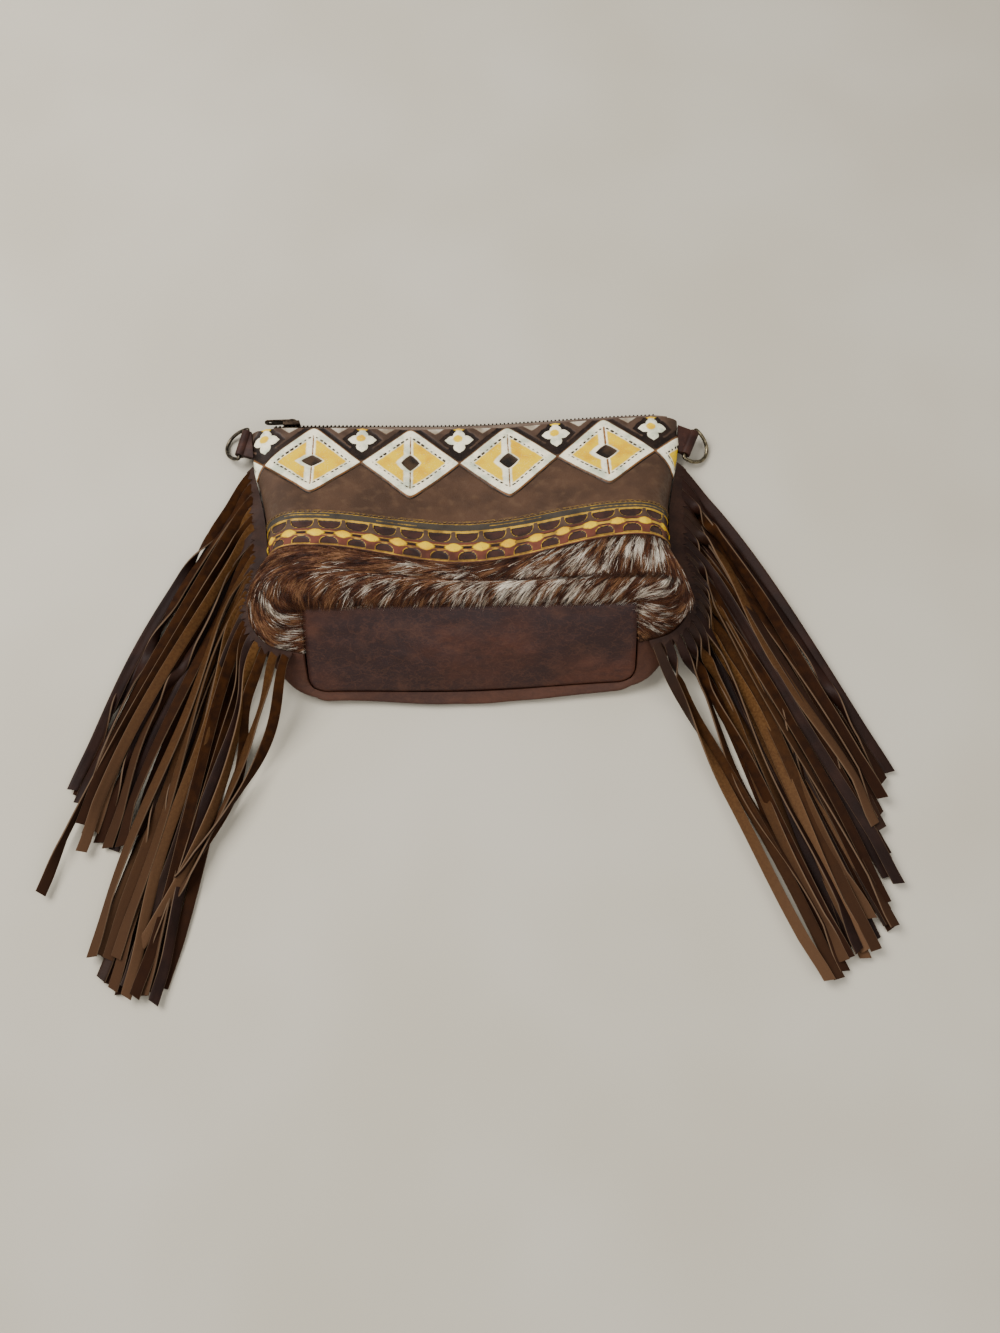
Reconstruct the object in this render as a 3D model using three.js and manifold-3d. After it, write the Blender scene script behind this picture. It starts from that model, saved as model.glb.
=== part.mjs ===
// Fringe crossbody bag, lying on its back as it would on a floor.
// Millimetres. +Z is up and the floor is z = 0. The zip points to +Y, the base faces -Y, and the
// bag's own middle line is x = 0 until the whole is centred at the end of the file.
import * as THREE from 'three';
import { mergeVertices } from 'three/addons/utils/BufferGeometryUtils.js';
import Module from 'manifold-3d';

const wasm = await Module();
wasm.setup();

// Driving sizes

const GAP = 0.35; // clearance between neighbouring pieces
const LEATHER = 1.8; // wall of the smooth leather
const HIDE = 2.2; // wall of the hide with its short hair pressed flat
const CROWN_AT = 0.72; // share of a half section that lies between its middle and its crown
const SEAM_GAP = 0.5; // half of the opening left between front and back at the side seam

// The side seam, from the middle of the base's short edge up to the zip. One row for each section
// across the bag: x, y, z is the seam and header is how far the fringe's header stands out of it.
const SEAM = [
  { at: 'base edge', x: 101.5, y: 21.5, z: 31.5, header: 8 },
  { at: 'hide roll', x: 122, y: 29, z: 27, header: 9 },
  { at: 'roll back', x: 133, y: 42, z: 23, header: 9.5 },
  { at: 'crease', x: 136, y: 56, z: 20, header: 10 },
  { at: 'upper hide', x: 132, y: 70, z: 18, header: 13 },
  { at: 'band foot', x: 127, y: 86, z: 16, header: 17 },
  { at: 'band head', x: 128, y: 112, z: 14, header: 18 },
  { at: 'diamond foot', x: 131.5, y: 131, z: 12.5, header: 14 },
  { at: 'diamond heart', x: 137.8, y: 157, z: 10.5, header: 6.5 },
  { at: 'zip edge', x: 140.3, y: 183, z: 8.5, header: 3 },
];

// The front over the same sections: its middle, then the crown where it turns down to the seam.
// lean is how much further towards the base the right half lies than the left.
const FRONT = [
  { at: 'base edge', midY: 41, midZ: 55.5, crownX: 100.5, crownY: 41, crownZ: 55, lean: -2 },
  { at: 'hide roll', midY: 47, midZ: 60, crownX: 104, crownY: 48, crownZ: 59.5, lean: -3 },
  { at: 'roll back', midY: 54, midZ: 57, crownX: 107, crownY: 58, crownZ: 57.5, lean: -5 },
  { at: 'crease', midY: 58.5, midZ: 49.5, crownX: 107, crownY: 65, crownZ: 53.5, lean: -6 },
  { at: 'upper hide', midY: 64, midZ: 50, crownX: 105, crownY: 74, crownZ: 53.5, lean: -3 },
  { at: 'band foot', midY: 71, midZ: 47.5, crownX: 103, crownY: 85, crownZ: 50, lean: 0 },
  { at: 'band head', midY: 104, midZ: 36, crownX: 104.5, crownY: 113, crownZ: 40.5, lean: 0 },
  { at: 'diamond foot', midY: 126, midZ: 28.5, crownX: 107, crownY: 132, crownZ: 32, lean: 0 },
  { at: 'diamond heart', midY: 154, midZ: 20, crownX: 114.5, crownY: 158, crownZ: 21.5, lean: 0 },
  { at: 'zip edge', midY: 181, midZ: 12.5, crownX: 122.5, crownY: 185, crownZ: 13.5, lean: 0 },
];

// The back over the same sections: it rolls under the base's rear edge and then lies on the floor.
const BACK = [
  { at: 'base edge', midY: 1.5, midZ: 8, crownX: 100.5, crownY: 4, crownZ: 8.5 },
  { at: 'hide roll', midY: -5, midZ: 3.2, crownX: 100, crownY: 0, crownZ: 4.5 },
  { at: 'roll back', midY: 2, midZ: 0, crownX: 99, crownY: 12, crownZ: 0 },
  { at: 'crease', midY: 24, midZ: 0, crownX: 103, crownY: 34, crownZ: 0 },
  { at: 'upper hide', midY: 46, midZ: 0, crownX: 105, crownY: 54, crownZ: 0 },
  { at: 'band foot', midY: 74, midZ: 0, crownX: 106, crownY: 78, crownZ: 0 },
  { at: 'band head', midY: 107, midZ: 0, crownX: 108.5, crownY: 109, crownZ: 0 },
  { at: 'diamond foot', midY: 128, midZ: 0, crownX: 111, crownY: 129, crownZ: 0 },
  { at: 'diamond heart', midY: 157, midZ: 0, crownX: 117.5, crownY: 158, crownZ: 0 },
  { at: 'zip edge', midY: 183, midZ: 0, crownX: 124.5, crownY: 186, crownZ: 0 },
];
const LAST_ROW = SEAM.length - 1;
const BAND_FOOT = SEAM.findIndex((row) => row.at === 'band foot') / LAST_ROW;

// The base is a flat rectangle between the base-edge rows of the front and the back.
const BASE_INSET = 1.5; // how far its edge stays inside those rows
const BASE_BELLY = 2; // how far its middle swells out

// The zip
const TAPE_WALL = 0.9;
const TAPE_TUCK = 5; // how far the tape reaches in under the panels' edges
const TAPE_BULGE = 2; // how far it stands out past them
const ZIP_HALF = 130; // half the tape's length
const CHAIN_WIDTH = 4.6;
const CHAIN_HEIGHT = 2.2;
const SLIDER_X = -115; // the zip is closed, with the slider at its left end
const SLIDER_LENGTH = 11;
const SLIDER_PLATE = 1.2;
const BRIDGE = { half: 4, rise: 3, wire: 1.15, depth: 1.6 }; // the slider's arch over the pull
const PULL = { length: 18, width: 6, plate: 1, window: 4.1, bar: 1 };

// The D-rings and the leather tabs that hold them
const WIRE = 2.4; // wire of the rings
const RING_BAR = 22.4; // the bar, between the middles of the wire at its ends
const RING_REACH = 14.8; // from the bar to the far side of the bow
const TAB_WIDTH = 18;
const TAB_LENGTH = { left: 6.4, right: 8.6 }; // from the seam to the eye: the left is sewn in deeper
const TAB_TURN = { left: -15, right: -25 }; // degrees that a tab is turned from straight out
const TAB_LAYER = 1.7; // one layer of the folded tab
const TAB_Y = { left: 175, right: 170.5 };
const TAB_Z = 9.4;
const RING_REST_Z = WIRE / 2 + 0.3; // the far side of a ring rests just clear of the floor

// The fringe. Strips are counted along the header from the tab down to the base.
const STRIP_WIDTH = 6.6;
const STRIP_WALL = 1.5;
const STRIP_LAYERS = 3; // neighbours lie on each other in this many layers
const LAYER_RISE = 2;
const HEADER_WALL = 2.8; // the header is a doubled strip
const STRIP_BEDDED = 5; // how far a strip reaches into the header
const HEADER_LIFT = 1.2; // it lies on the back's edge of the seam
const ROOT_RISE = 1.6; // from layer to layer where the strips leave the header
const HEADER_TOP = { left: 0.915, right: 0.875 }; // where the header starts, just under the tab
const HEADER_END = 0.02; // and where it ends, at the base
const HEADER_SLOPE = 0.38; // fall of the header for each millimetre that it stands out
const HEADER_SCALE = { left: 1, right: 1.4 }; // the right header lies wider open
// One row for each lock of strips: tip of its first strip, step from tip to tip, sideways bow.
const LOCKS = {
  left: [
    { strips: 4, tipX: -247, tipY: -55, stepX: 5, stepY: -9, bow: -12 },
    { strips: 4, tipX: -257, tipY: -112, stepX: 11, stepY: -2, bow: -11 },
    { strips: 4, tipX: -227, tipY: -156, stepX: 5, stepY: 0, bow: -6 },
    { strips: 4, tipX: -221, tipY: -168, stepX: 8, stepY: -3, bow: 0 },
    { strips: 4, tipX: -204, tipY: -172, stepX: 6, stepY: -2, bow: 4 },
    { strips: 4, tipX: -195, tipY: -152, stepX: 8, stepY: 14, bow: 14 },
  ],
  right: [
    { strips: 4, tipX: 254, tipY: -60, stepX: -4, stepY: -8, bow: 7 },
    { strips: 4, tipX: 243, tipY: -95, stepX: 1.5, stepY: -10, bow: 6 },
    { strips: 4, tipX: 239, tipY: -136, stepX: 1.5, stepY: -6, bow: 4 },
    { strips: 4, tipX: 242, tipY: -153, stepX: -6, stepY: -5, bow: 2 },
    { strips: 4, tipX: 226, tipY: -166, stepX: -5, stepY: -2, bow: 0 },
    { strips: 4, tipX: 215, tipY: -170, stepX: -4, stepY: -4, bow: -2 },
  ],
};

// Colours

const leather = (color, roughness) => new THREE.MeshStandardMaterial({ color, roughness, metalness: 0 });
const metal = (color, roughness) => new THREE.MeshStandardMaterial({ color, roughness, metalness: 1 });
const TOOLED = leather('#6a4f3d', 0.55);
const HAIR = leather('#6d4634', 0.85);
const PULL_UP = leather('#4a2f29', 0.5);
const BACK_LEATHER = leather('#46302a', 0.55);
const FRINGE_LEATHER = leather('#5a3a22', 0.75);
const TAB_LEATHER = leather('#402d26', 0.6);
const TAPE_CLOTH = leather('#5b4638', 0.85);
const ANTIQUE_BRASS = metal('#8a7557', 0.4);
const DARK_BRONZE = metal('#4d4238', 0.45);

// Making closed solids

const lerp = THREE.MathUtils.lerp;

function geometryOf(points, triangles) {
  const geometry = new THREE.BufferGeometry();
  const coordinates = points.flatMap((p) => [p.x, p.y, p.z]);
  geometry.setAttribute('position', new THREE.Float32BufferAttribute(coordinates, 3));
  geometry.setIndex(triangles);
  return geometry;
}

// A closed wall between two sheets that share a grid of columns by rows cells. upper(a, b) and
// lower(a, b) give the sheets' points for a and b from 0 to 1; seen from above the upper sheet,
// b must run to the left of a.
function wall(columns, rows, upper, lower) {
  const points = [];
  for (const sheet of [upper, lower]) {
    for (let j = 0; j <= rows; j++) {
      for (let i = 0; i <= columns; i++) {
        points.push(sheet(i / columns, j / rows));
      }
    }
  }
  const under = (columns + 1) * (rows + 1);
  const at = (i, j) => j * (columns + 1) + i;
  const triangles = [];
  const quad = (a, b, c, d) => triangles.push(a, b, c, a, c, d);
  for (let j = 0; j < rows; j++) {
    for (let i = 0; i < columns; i++) {
      const [a, b, c, d] = [at(i, j), at(i + 1, j), at(i + 1, j + 1), at(i, j + 1)];
      quad(a, b, c, d);
      quad(under + d, under + c, under + b, under + a);
    }
  }
  for (let i = 0; i < columns; i++) {
    quad(under + at(i, 0), under + at(i + 1, 0), at(i + 1, 0), at(i, 0));
    quad(at(i, rows), at(i + 1, rows), under + at(i + 1, rows), under + at(i, rows));
  }
  for (let j = 0; j < rows; j++) {
    quad(at(0, j), at(0, j + 1), under + at(0, j + 1), under + at(0, j));
    quad(under + at(columns, j), under + at(columns, j + 1), at(columns, j + 1), at(columns, j));
  }
  return geometryOf(points, triangles);
}

// A round wire along a closed flat path in the x-y plane.
function closedWire(path, samples, radius, sides) {
  const middle = path.getSpacedPoints(samples).slice(0, samples);
  const points = [];
  const triangles = [];
  for (let i = 0; i < samples; i++) {
    const before = middle[(i + samples - 1) % samples];
    const after = middle[(i + 1) % samples];
    const along = after.clone().sub(before).normalize();
    for (let k = 0; k < sides; k++) {
      const turn = (2 * Math.PI * k) / sides;
      const out = radius * Math.cos(turn);
      points.push(new THREE.Vector3(
        middle[i].x + along.y * out,
        middle[i].y - along.x * out,
        radius * Math.sin(turn),
      ));
      const next = (i + 1) % samples;
      const k2 = (k + 1) % sides;
      const [a, b] = [i * sides + k, next * sides + k];
      const [c, d] = [next * sides + k2, i * sides + k2];
      triangles.push(a, b, c, a, c, d);
    }
  }
  return geometryOf(points, triangles);
}

function solid(geometry) {
  const bare = geometry.clone();
  bare.deleteAttribute('normal');
  bare.deleteAttribute('uv');
  const joined = mergeVertices(bare, 1e-5);
  return new wasm.Manifold(new wasm.Mesh({
    numProp: 3,
    vertProperties: new Float32Array(joined.attributes.position.array),
    triVerts: new Uint32Array(joined.index.array),
  }));
}

function geometryFrom(manifold) {
  const mesh = manifold.getMesh();
  const geometry = new THREE.BufferGeometry();
  geometry.setAttribute('position', new THREE.Float32BufferAttribute(mesh.vertProperties, 3));
  geometry.setIndex(Array.from(mesh.triVerts));
  return geometry;
}

// Fuses several overlapping solids into one, and fills any crumb of a hollow shut in between them.
function fuse(geometries) {
  const bodies = wasm.Manifold.union(geometries.map(solid)).decompose();
  bodies.sort((a, b) => b.volume() - a.volume());
  return geometryFrom(bodies[0]);
}

function piece(name, geometry, material) {
  const mesh = new THREE.Mesh(geometry, material);
  mesh.name = name;
  return mesh;
}

// The bag's skins

const rail = (rows, point) => new THREE.CatmullRomCurve3(rows.map(point), false, 'centripetal');
const crownOf = (row) => new THREE.Vector3(row.crownX, row.crownY, row.crownZ);
const middleOf = (row) => new THREE.Vector3(row.lean ?? 0, row.midY, row.midZ);
const seamRail = rail(SEAM, (row) => new THREE.Vector3(row.x, row.y, row.z));
const headerRail = rail(SEAM, (row) => new THREE.Vector3(row.header, 0, 0));
// The front's corners are full; the back's are drawn flatter.
const frontSide = { middle: rail(FRONT, middleOf), crown: rail(FRONT, crownOf), up: 1, flatness: 1 };
const backSide = { middle: rail(BACK, middleOf), crown: rail(BACK, crownOf), up: -1, flatness: 2 };

// A point of a skin: u runs from the left seam (-1) over the middle (0) to the right seam (1), and
// v from the base (0) to the zip (1).
function skin(side, u, v) {
  const middle = side.middle.getPoint(v);
  const crown = side.crown.getPoint(v);
  const seam = seamRail.getPoint(v);
  seam.z += side.up * SEAM_GAP;
  const lean = middle.x * Math.sign(u);
  const out = Math.abs(u);
  const point = new THREE.Vector3();
  if (out <= CROWN_AT) {
    const share = out / CROWN_AT;
    const swell = (1 - Math.cos(Math.PI * share)) / 2;
    point.x = crown.x * share;
    point.y = lerp(middle.y, crown.y, swell) + lean * share;
    point.z = lerp(middle.z, crown.z, swell);
  } else {
    const turn = (Math.PI / 2) * ((out - CROWN_AT) / (1 - CROWN_AT));
    const fall = 1 - Math.cos(turn);
    point.x = lerp(crown.x, seam.x, Math.sin(turn) ** side.flatness);
    point.y = lerp(crown.y + lean, seam.y, fall);
    point.z = lerp(crown.z, seam.z, fall);
  }
  point.x *= Math.sign(u);
  point.z = Math.max(point.z, 0);
  return point;
}

// The level direction out of the right side seam.
function seamOut(v) {
  const ahead = seamRail.getPoint(Math.min(v + 0.01, 1));
  const along = ahead.sub(seamRail.getPoint(Math.max(v - 0.01, 0)));
  return new THREE.Vector3(along.y, -along.x, 0).normalize();
}

// The outward direction of a skin, from its slopes across and along the bag. Front and back share
// one direction at the seam, so that their edges meet face to face.
function outward(side, u, v) {
  if (Math.abs(u) === 1) return seamOut(v).multiply(new THREE.Vector3(u, 1, 1));
  const step = 0.004;
  const clampU = (value) => THREE.MathUtils.clamp(value, -1, 1);
  const clampV = (value) => THREE.MathUtils.clamp(value, 0, 1);
  const across = skin(side, clampU(u + step), v).sub(skin(side, clampU(u - step), v));
  const along = skin(side, u, clampV(v + step)).sub(skin(side, u, clampV(v - step)));
  return across.cross(along).normalize().multiplyScalar(side.up);
}

const inside = (side, u, v, depth) => skin(side, u, v).addScaledVector(outward(side, u, v), -depth);

// Columns are closest where a section turns down to the seam.
const COLUMNS = { middle: 14, side: 6 };
function acrossAt(share) {
  const cells = COLUMNS.middle + 2 * COLUMNS.side;
  const cell = share * cells;
  if (cell < COLUMNS.side) return -1 + ((1 - CROWN_AT) * cell) / COLUMNS.side;
  if (cell > cells - COLUMNS.side) return 1 - ((1 - CROWN_AT) * (cells - cell)) / COLUMNS.side;
  return CROWN_AT * ((2 * (cell - COLUMNS.side)) / COLUMNS.middle - 1);
}

function panel(side, vStart, vEnd, rows, thickness) {
  const columns = COLUMNS.middle + 2 * COLUMNS.side;
  const outer = (a, b) => skin(side, acrossAt(a), lerp(vStart, vEnd, b));
  const inner = (a, b) => inside(side, acrossAt(a), lerp(vStart, vEnd, b), thickness);
  if (side.up > 0) return wall(columns, rows, outer, inner);
  return wall(columns, rows, inner, outer);
}

function panels() {
  const bandGap = GAP / (2 * 28 * LAST_ROW); // a section is about 28 mm high there
  return [
    piece('front_hide_panel', panel(frontSide, 0, BAND_FOOT - bandGap, 13, HIDE), HAIR),
    piece('front_tooled_panel', panel(frontSide, BAND_FOOT + bandGap, 1, 8, LEATHER), TOOLED),
    piece('back_panel', panel(backSide, 0, 1, 12, LEATHER), BACK_LEATHER),
    piece('base_panel', basePanel(), PULL_UP),
  ];
}

function basePanel() {
  const inset = 1 - BASE_INSET / FRONT[0].crownX;
  const sheet = (below) => (a, b) => {
    const u = CROWN_AT * inset * lerp(-1, 1, a);
    const rear = skin(backSide, u, 0);
    const rise = skin(frontSide, u, 0).sub(rear);
    const depth = rise.length();
    rise.normalize();
    const out = new THREE.Vector3(1, 0, 0).cross(rise);
    const belly = BASE_BELLY * Math.sin(Math.PI * a) * Math.sin(Math.PI * b);
    return rear
      .addScaledVector(rise, lerp(BASE_INSET, depth - BASE_INSET, b))
      .addScaledVector(out, belly - below);
  };
  return wall(10, 5, sheet(0), sheet(LEATHER));
}

// The zip

// The panels' inner faces at the mouth, with the tape's clearance.
function mouth(x) {
  const share = (side) => {
    const crown = side.crown.getPoint(1).x;
    const seam = seamRail.getPoint(1).x;
    const out = Math.abs(x);
    if (out <= crown) return (CROWN_AT * out) / crown;
    const reach = ((out - crown) / (seam - crown)) ** (1 / side.flatness);
    return CROWN_AT + (1 - CROWN_AT) * (Math.asin(reach) / (Math.PI / 2));
  };
  return {
    top: inside(frontSide, share(frontSide), 1, LEATHER + 1.5 * GAP),
    bottom: inside(backSide, share(backSide), 1, LEATHER + 1.5 * GAP),
  };
}

// A point of the tape: b runs round its bulge from the back's edge (0) to the front's edge (1).
function tapePoint(x, b, wallDepth) {
  const { top, bottom } = mouth(x);
  const turn = Math.PI * (b - 0.5);
  const half = (top.z - bottom.z) / 2 - wallDepth;
  const reach = (TAPE_TUCK + TAPE_BULGE - wallDepth) * Math.sqrt(Math.max(Math.cos(turn), 0));
  const y = Math.max(top.y, bottom.y) - TAPE_TUCK + reach;
  return new THREE.Vector3(x, y, (top.z + bottom.z) / 2 + half * Math.sin(turn));
}

const chainSeat = (x) => tapePoint(x, 0.5, 0);

function zipTape() {
  const at = (a) => lerp(ZIP_HALF, -ZIP_HALF, a);
  return wall(14, 6, (a, b) => tapePoint(at(a), b, 0), (a, b) => tapePoint(at(a), b, TAPE_WALL));
}

function zipChain() {
  const reach = ZIP_HALF - 3;
  const sheet = (height) => (a, b) => {
    const x = lerp(reach, -reach, a);
    const seat = chainSeat(x);
    const turn = Math.PI * (b - 0.5);
    const lift = GAP + 0.35 + height * (0.35 + 0.65 * Math.cos(turn));
    return new THREE.Vector3(x, seat.y + lift, seat.z + (CHAIN_WIDTH / 2) * Math.sin(turn));
  };
  return wall(14, 4, sheet(CHAIN_HEIGHT), sheet(0));
}

// The slider straddles the chain; its parts are drawn with the zip along x and outwards along y.
const SLIDER_SEAT = chainSeat(SLIDER_X);
const PLATE_Y = SLIDER_SEAT.y + GAP + 0.35 + CHAIN_HEIGHT + GAP;
const PIVOT_Y = PLATE_Y + SLIDER_PLATE + (BRIDGE.rise - BRIDGE.wire) / 2;

function zipSlider() {
  const flange = CHAIN_WIDTH / 2 + GAP;
  const outerHalf = flange + 1;
  const drop = CHAIN_HEIGHT - 0.4;
  const channel = new THREE.Shape([
    new THREE.Vector2(-outerHalf, -drop),
    new THREE.Vector2(-flange, -drop),
    new THREE.Vector2(-flange, 0),
    new THREE.Vector2(flange, 0),
    new THREE.Vector2(flange, -drop),
    new THREE.Vector2(outerHalf, -drop),
    new THREE.Vector2(outerHalf, SLIDER_PLATE),
    new THREE.Vector2(-outerHalf, SLIDER_PLATE),
  ]);
  const body = new THREE.ExtrudeGeometry(channel, { depth: SLIDER_LENGTH, bevelEnabled: false });
  body.translate(0, 0, -SLIDER_LENGTH / 2);
  body.rotateY(Math.PI / 2);
  const arch = new THREE.Shape();
  const { half, rise, wire, depth } = BRIDGE;
  arch.moveTo(half, -0.3);
  arch.lineTo(half, 0);
  arch.absellipse(0, 0, half, rise, 0, Math.PI, false);
  arch.lineTo(-half, -0.3);
  arch.lineTo(wire - half, -0.3);
  arch.lineTo(wire - half, 0);
  arch.absellipse(0, 0, half - wire, rise - wire, Math.PI, 0, true);
  arch.lineTo(half - wire, -0.3);
  const bridge = new THREE.ExtrudeGeometry(arch, { depth, bevelEnabled: false, curveSegments: 10 });
  bridge.translate(0, SLIDER_PLATE, -depth / 2);
  return fuse([body, bridge]).translate(SLIDER_X, PLATE_Y, SLIDER_SEAT.z);
}

// The pull points left along the zip; a cross bar at its end lies under the slider's bridge.
function zipPull() {
  const { length, width, plate, window, bar } = PULL;
  const outline = new THREE.Shape();
  const half = width / 2;
  outline.moveTo(bar / 2, -half);
  outline.lineTo(bar / 2, half);
  outline.lineTo(half - length, half);
  outline.absarc(half - length, 0, half, Math.PI / 2, 1.5 * Math.PI, false);
  const hole = new THREE.Path();
  const gap = BRIDGE.depth / 2 + 0.45;
  hole.moveTo(-bar / 2, -gap);
  hole.lineTo(-bar / 2 - window, -gap);
  hole.lineTo(-bar / 2 - window, gap);
  hole.lineTo(-bar / 2, gap);
  outline.holes.push(hole);
  const geometry = new THREE.ExtrudeGeometry(outline, { depth: plate, bevelEnabled: false, curveSegments: 8 });
  geometry.translate(0, 0, -plate / 2);
  geometry.rotateX(Math.PI / 2);
  return geometry.translate(SLIDER_X, PIVOT_Y, SLIDER_SEAT.z);
}

function zip() {
  return [
    piece('zipper_tape', zipTape(), TAPE_CLOTH),
    piece('zipper_chain', zipChain(), DARK_BRONZE),
    piece('zipper_slider', zipSlider(), DARK_BRONZE),
    piece('zipper_pull', zipPull(), DARK_BRONZE),
  ];
}

// The tabs and their rings, drawn reaching out along +x from the seam

// skew is how far the root runs out along x for each millimetre along y, so that a turned tab still
// meets the seam along its whole root.
function tabGeometry(length, skew) {
  const eye = WIRE / 2 + GAP;
  const bulb = eye + TAB_LAYER;
  const lean = Math.asin(TAB_LAYER / bulb);
  const outline = new THREE.Shape();
  outline.moveTo(0, -TAB_LAYER);
  outline.absarc(length, 0, bulb, Math.PI + lean, 3 * Math.PI - lean, false);
  outline.lineTo(0, TAB_LAYER);
  const hole = new THREE.Path();
  hole.absarc(length, 0, eye, 0, 2 * Math.PI, true);
  outline.holes.push(hole);
  const geometry = new THREE.ExtrudeGeometry(outline, { depth: TAB_WIDTH, bevelEnabled: false, curveSegments: 9 });
  geometry.translate(0, 0, -TAB_WIDTH / 2);
  geometry.rotateX(Math.PI / 2);
  const points = geometry.getAttribute('position');
  for (let i = 0; i < points.count; i++) {
    if (points.getX(i) < 1e-6) points.setX(i, skew * points.getY(i));
  }
  return geometry;
}

function ringGeometry() {
  const bow = new THREE.Path();
  bow.moveTo(0, -RING_BAR / 2);
  bow.lineTo(0, RING_BAR / 2);
  bow.absellipse(0, 0, RING_REACH, RING_BAR / 2, Math.PI / 2, -Math.PI / 2, true);
  return closedWire(bow, 30, WIRE / 2, 7);
}

function tabAndRing(name, toSide) {
  const [upper, lower] = [SEAM.at(-1), SEAM.at(-2)];
  const v = 1 - (upper.y - TAB_Y[name]) / (upper.y - lower.y) / LAST_ROW;
  const seamLean = Math.atan2(upper.x - lower.x, upper.y - lower.y);
  const turn = THREE.MathUtils.degToRad(TAB_TURN[name]);
  const skew = Math.tan(turn + toSide * seamLean);
  const corner = new THREE.Group();
  corner.position.set(toSide * (seamRail.getPoint(v).x + GAP), TAB_Y[name], TAB_Z);
  corner.rotation.z = turn + (toSide > 0 ? 0 : Math.PI);
  corner.add(piece(`ring_tab_${name}`, tabGeometry(TAB_LENGTH[name], skew), TAB_LEATHER));
  const ring = piece(`d_ring_${name}`, ringGeometry(), ANTIQUE_BRASS);
  ring.position.x = TAB_LENGTH[name];
  ring.rotation.y = Math.asin((TAB_Z - RING_REST_Z) / RING_REACH);
  corner.add(ring);
  return corner;
}

// The fringe

// The header's edge at v along the seam: where it leaves the seam, and which way is out.
function headerAt(name, v) {
  const mirror = new THREE.Vector3(name === 'left' ? -1 : 1, 1, 1);
  const width = headerRail.getPoint(v).x * HEADER_SCALE[name];
  return { seam: seamRail.getPoint(v).multiply(mirror), out: seamOut(v).multiply(mirror), width };
}

function headerPoint(name, v, reach, lift) {
  const { seam, out } = headerAt(name, v);
  const point = seam.addScaledVector(out, 2 * GAP + reach);
  point.z += HEADER_LIFT + lift - HEADER_SLOPE * reach;
  return point;
}

function headerGeometry(name) {
  const half = HEADER_WALL / 2;
  const sheet = (lift) => (a, b) => {
    const v = lerp(HEADER_END, HEADER_TOP[name], name === 'left' ? 1 - a : a);
    return headerPoint(name, v, headerAt(name, v).width * (1 - b), lift);
  };
  return wall(18, 1, sheet(half), sheet(-half));
}

// One strip: out of the header, over its own short fall and along the floor to its tip.
function stripGeometry(name, index, count, tip, bow) {
  const v = lerp(HEADER_TOP[name] - 0.02, HEADER_END + 0.012, (index + 0.5) / count);
  const { out, width } = headerAt(name, v);
  const root = headerPoint(name, v, width - STRIP_BEDDED, 0);
  const start = new THREE.Vector2(root.x, root.y);
  const way = tip.clone().sub(start);
  const length = way.length();
  way.normalize();
  const sideways = new THREE.Vector2(-way.y, way.x).multiplyScalar(bow);
  const leave = start.clone().add(new THREE.Vector2(out.x, out.y).multiplyScalar(STRIP_BEDDED + 9));
  const path = new THREE.CubicBezierCurve(
    start,
    leave.addScaledVector(way, 18),
    tip.clone().addScaledVector(way, -0.4 * length).add(sideways),
    tip,
  );
  const layer = index % STRIP_LAYERS;
  const lying = 0.2 + STRIP_WALL / 2 + LAYER_RISE * layer;
  const leaving = root.z + ROOT_RISE * (layer - (STRIP_LAYERS - 1) / 2);
  const fall = 30 + 1.8 * root.z;
  const sheet = (lift) => (a, b) => {
    const place = path.getPoint(a);
    const ahead = path.getTangent(a);
    const aloft = Math.max(0, 1 - (a * length) / fall);
    const across = STRIP_WIDTH * (b - 0.5);
    return new THREE.Vector3(
      place.x - ahead.y * across,
      place.y + ahead.x * across,
      lerp(lying, leaving, aloft * aloft * (3 - 2 * aloft)) + lift,
    );
  };
  return wall(7, 1, sheet(STRIP_WALL / 2), sheet(-STRIP_WALL / 2));
}

function fringe(name) {
  const locks = LOCKS[name];
  const count = locks.reduce((sum, lock) => sum + lock.strips, 0);
  const solids = [headerGeometry(name)];
  let index = 0;
  for (const lock of locks) {
    for (let k = 0; k < lock.strips; k++) {
      const tip = new THREE.Vector2(lock.tipX + k * lock.stepX, lock.tipY + k * lock.stepY);
      solids.push(stripGeometry(name, index, count, tip, lock.bow));
      index += 1;
    }
  }
  return piece(`fringe_${name}`, fuse(solids), FRINGE_LEATHER);
}

// The whole bag, with the middle of its footprint at the origin

const bag = new THREE.Group();
bag.add(...panels());
bag.add(...zip());
bag.add(tabAndRing('left', -1), tabAndRing('right', 1));
bag.add(fringe('left'), fringe('right'));

bag.updateMatrixWorld(true);
const extent = new THREE.Box3().setFromObject(bag, true);
const footprint = extent.getCenter(new THREE.Vector3());
bag.position.set(-footprint.x, -footprint.y, -extent.min.z);

export default bag;
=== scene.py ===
# %% [markdown]
# # A fringe crossbody bag, dressed in Blender
# The bag lies on its back. Its solids are already packed, so this lesson only gives them their looks:
# tooled and painted leather, hair-on-hide, worn base leather, long cut strips and small metal fittings.
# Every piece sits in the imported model's frame, in metres, and rides on one of its bodies.

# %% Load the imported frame
import math

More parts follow.
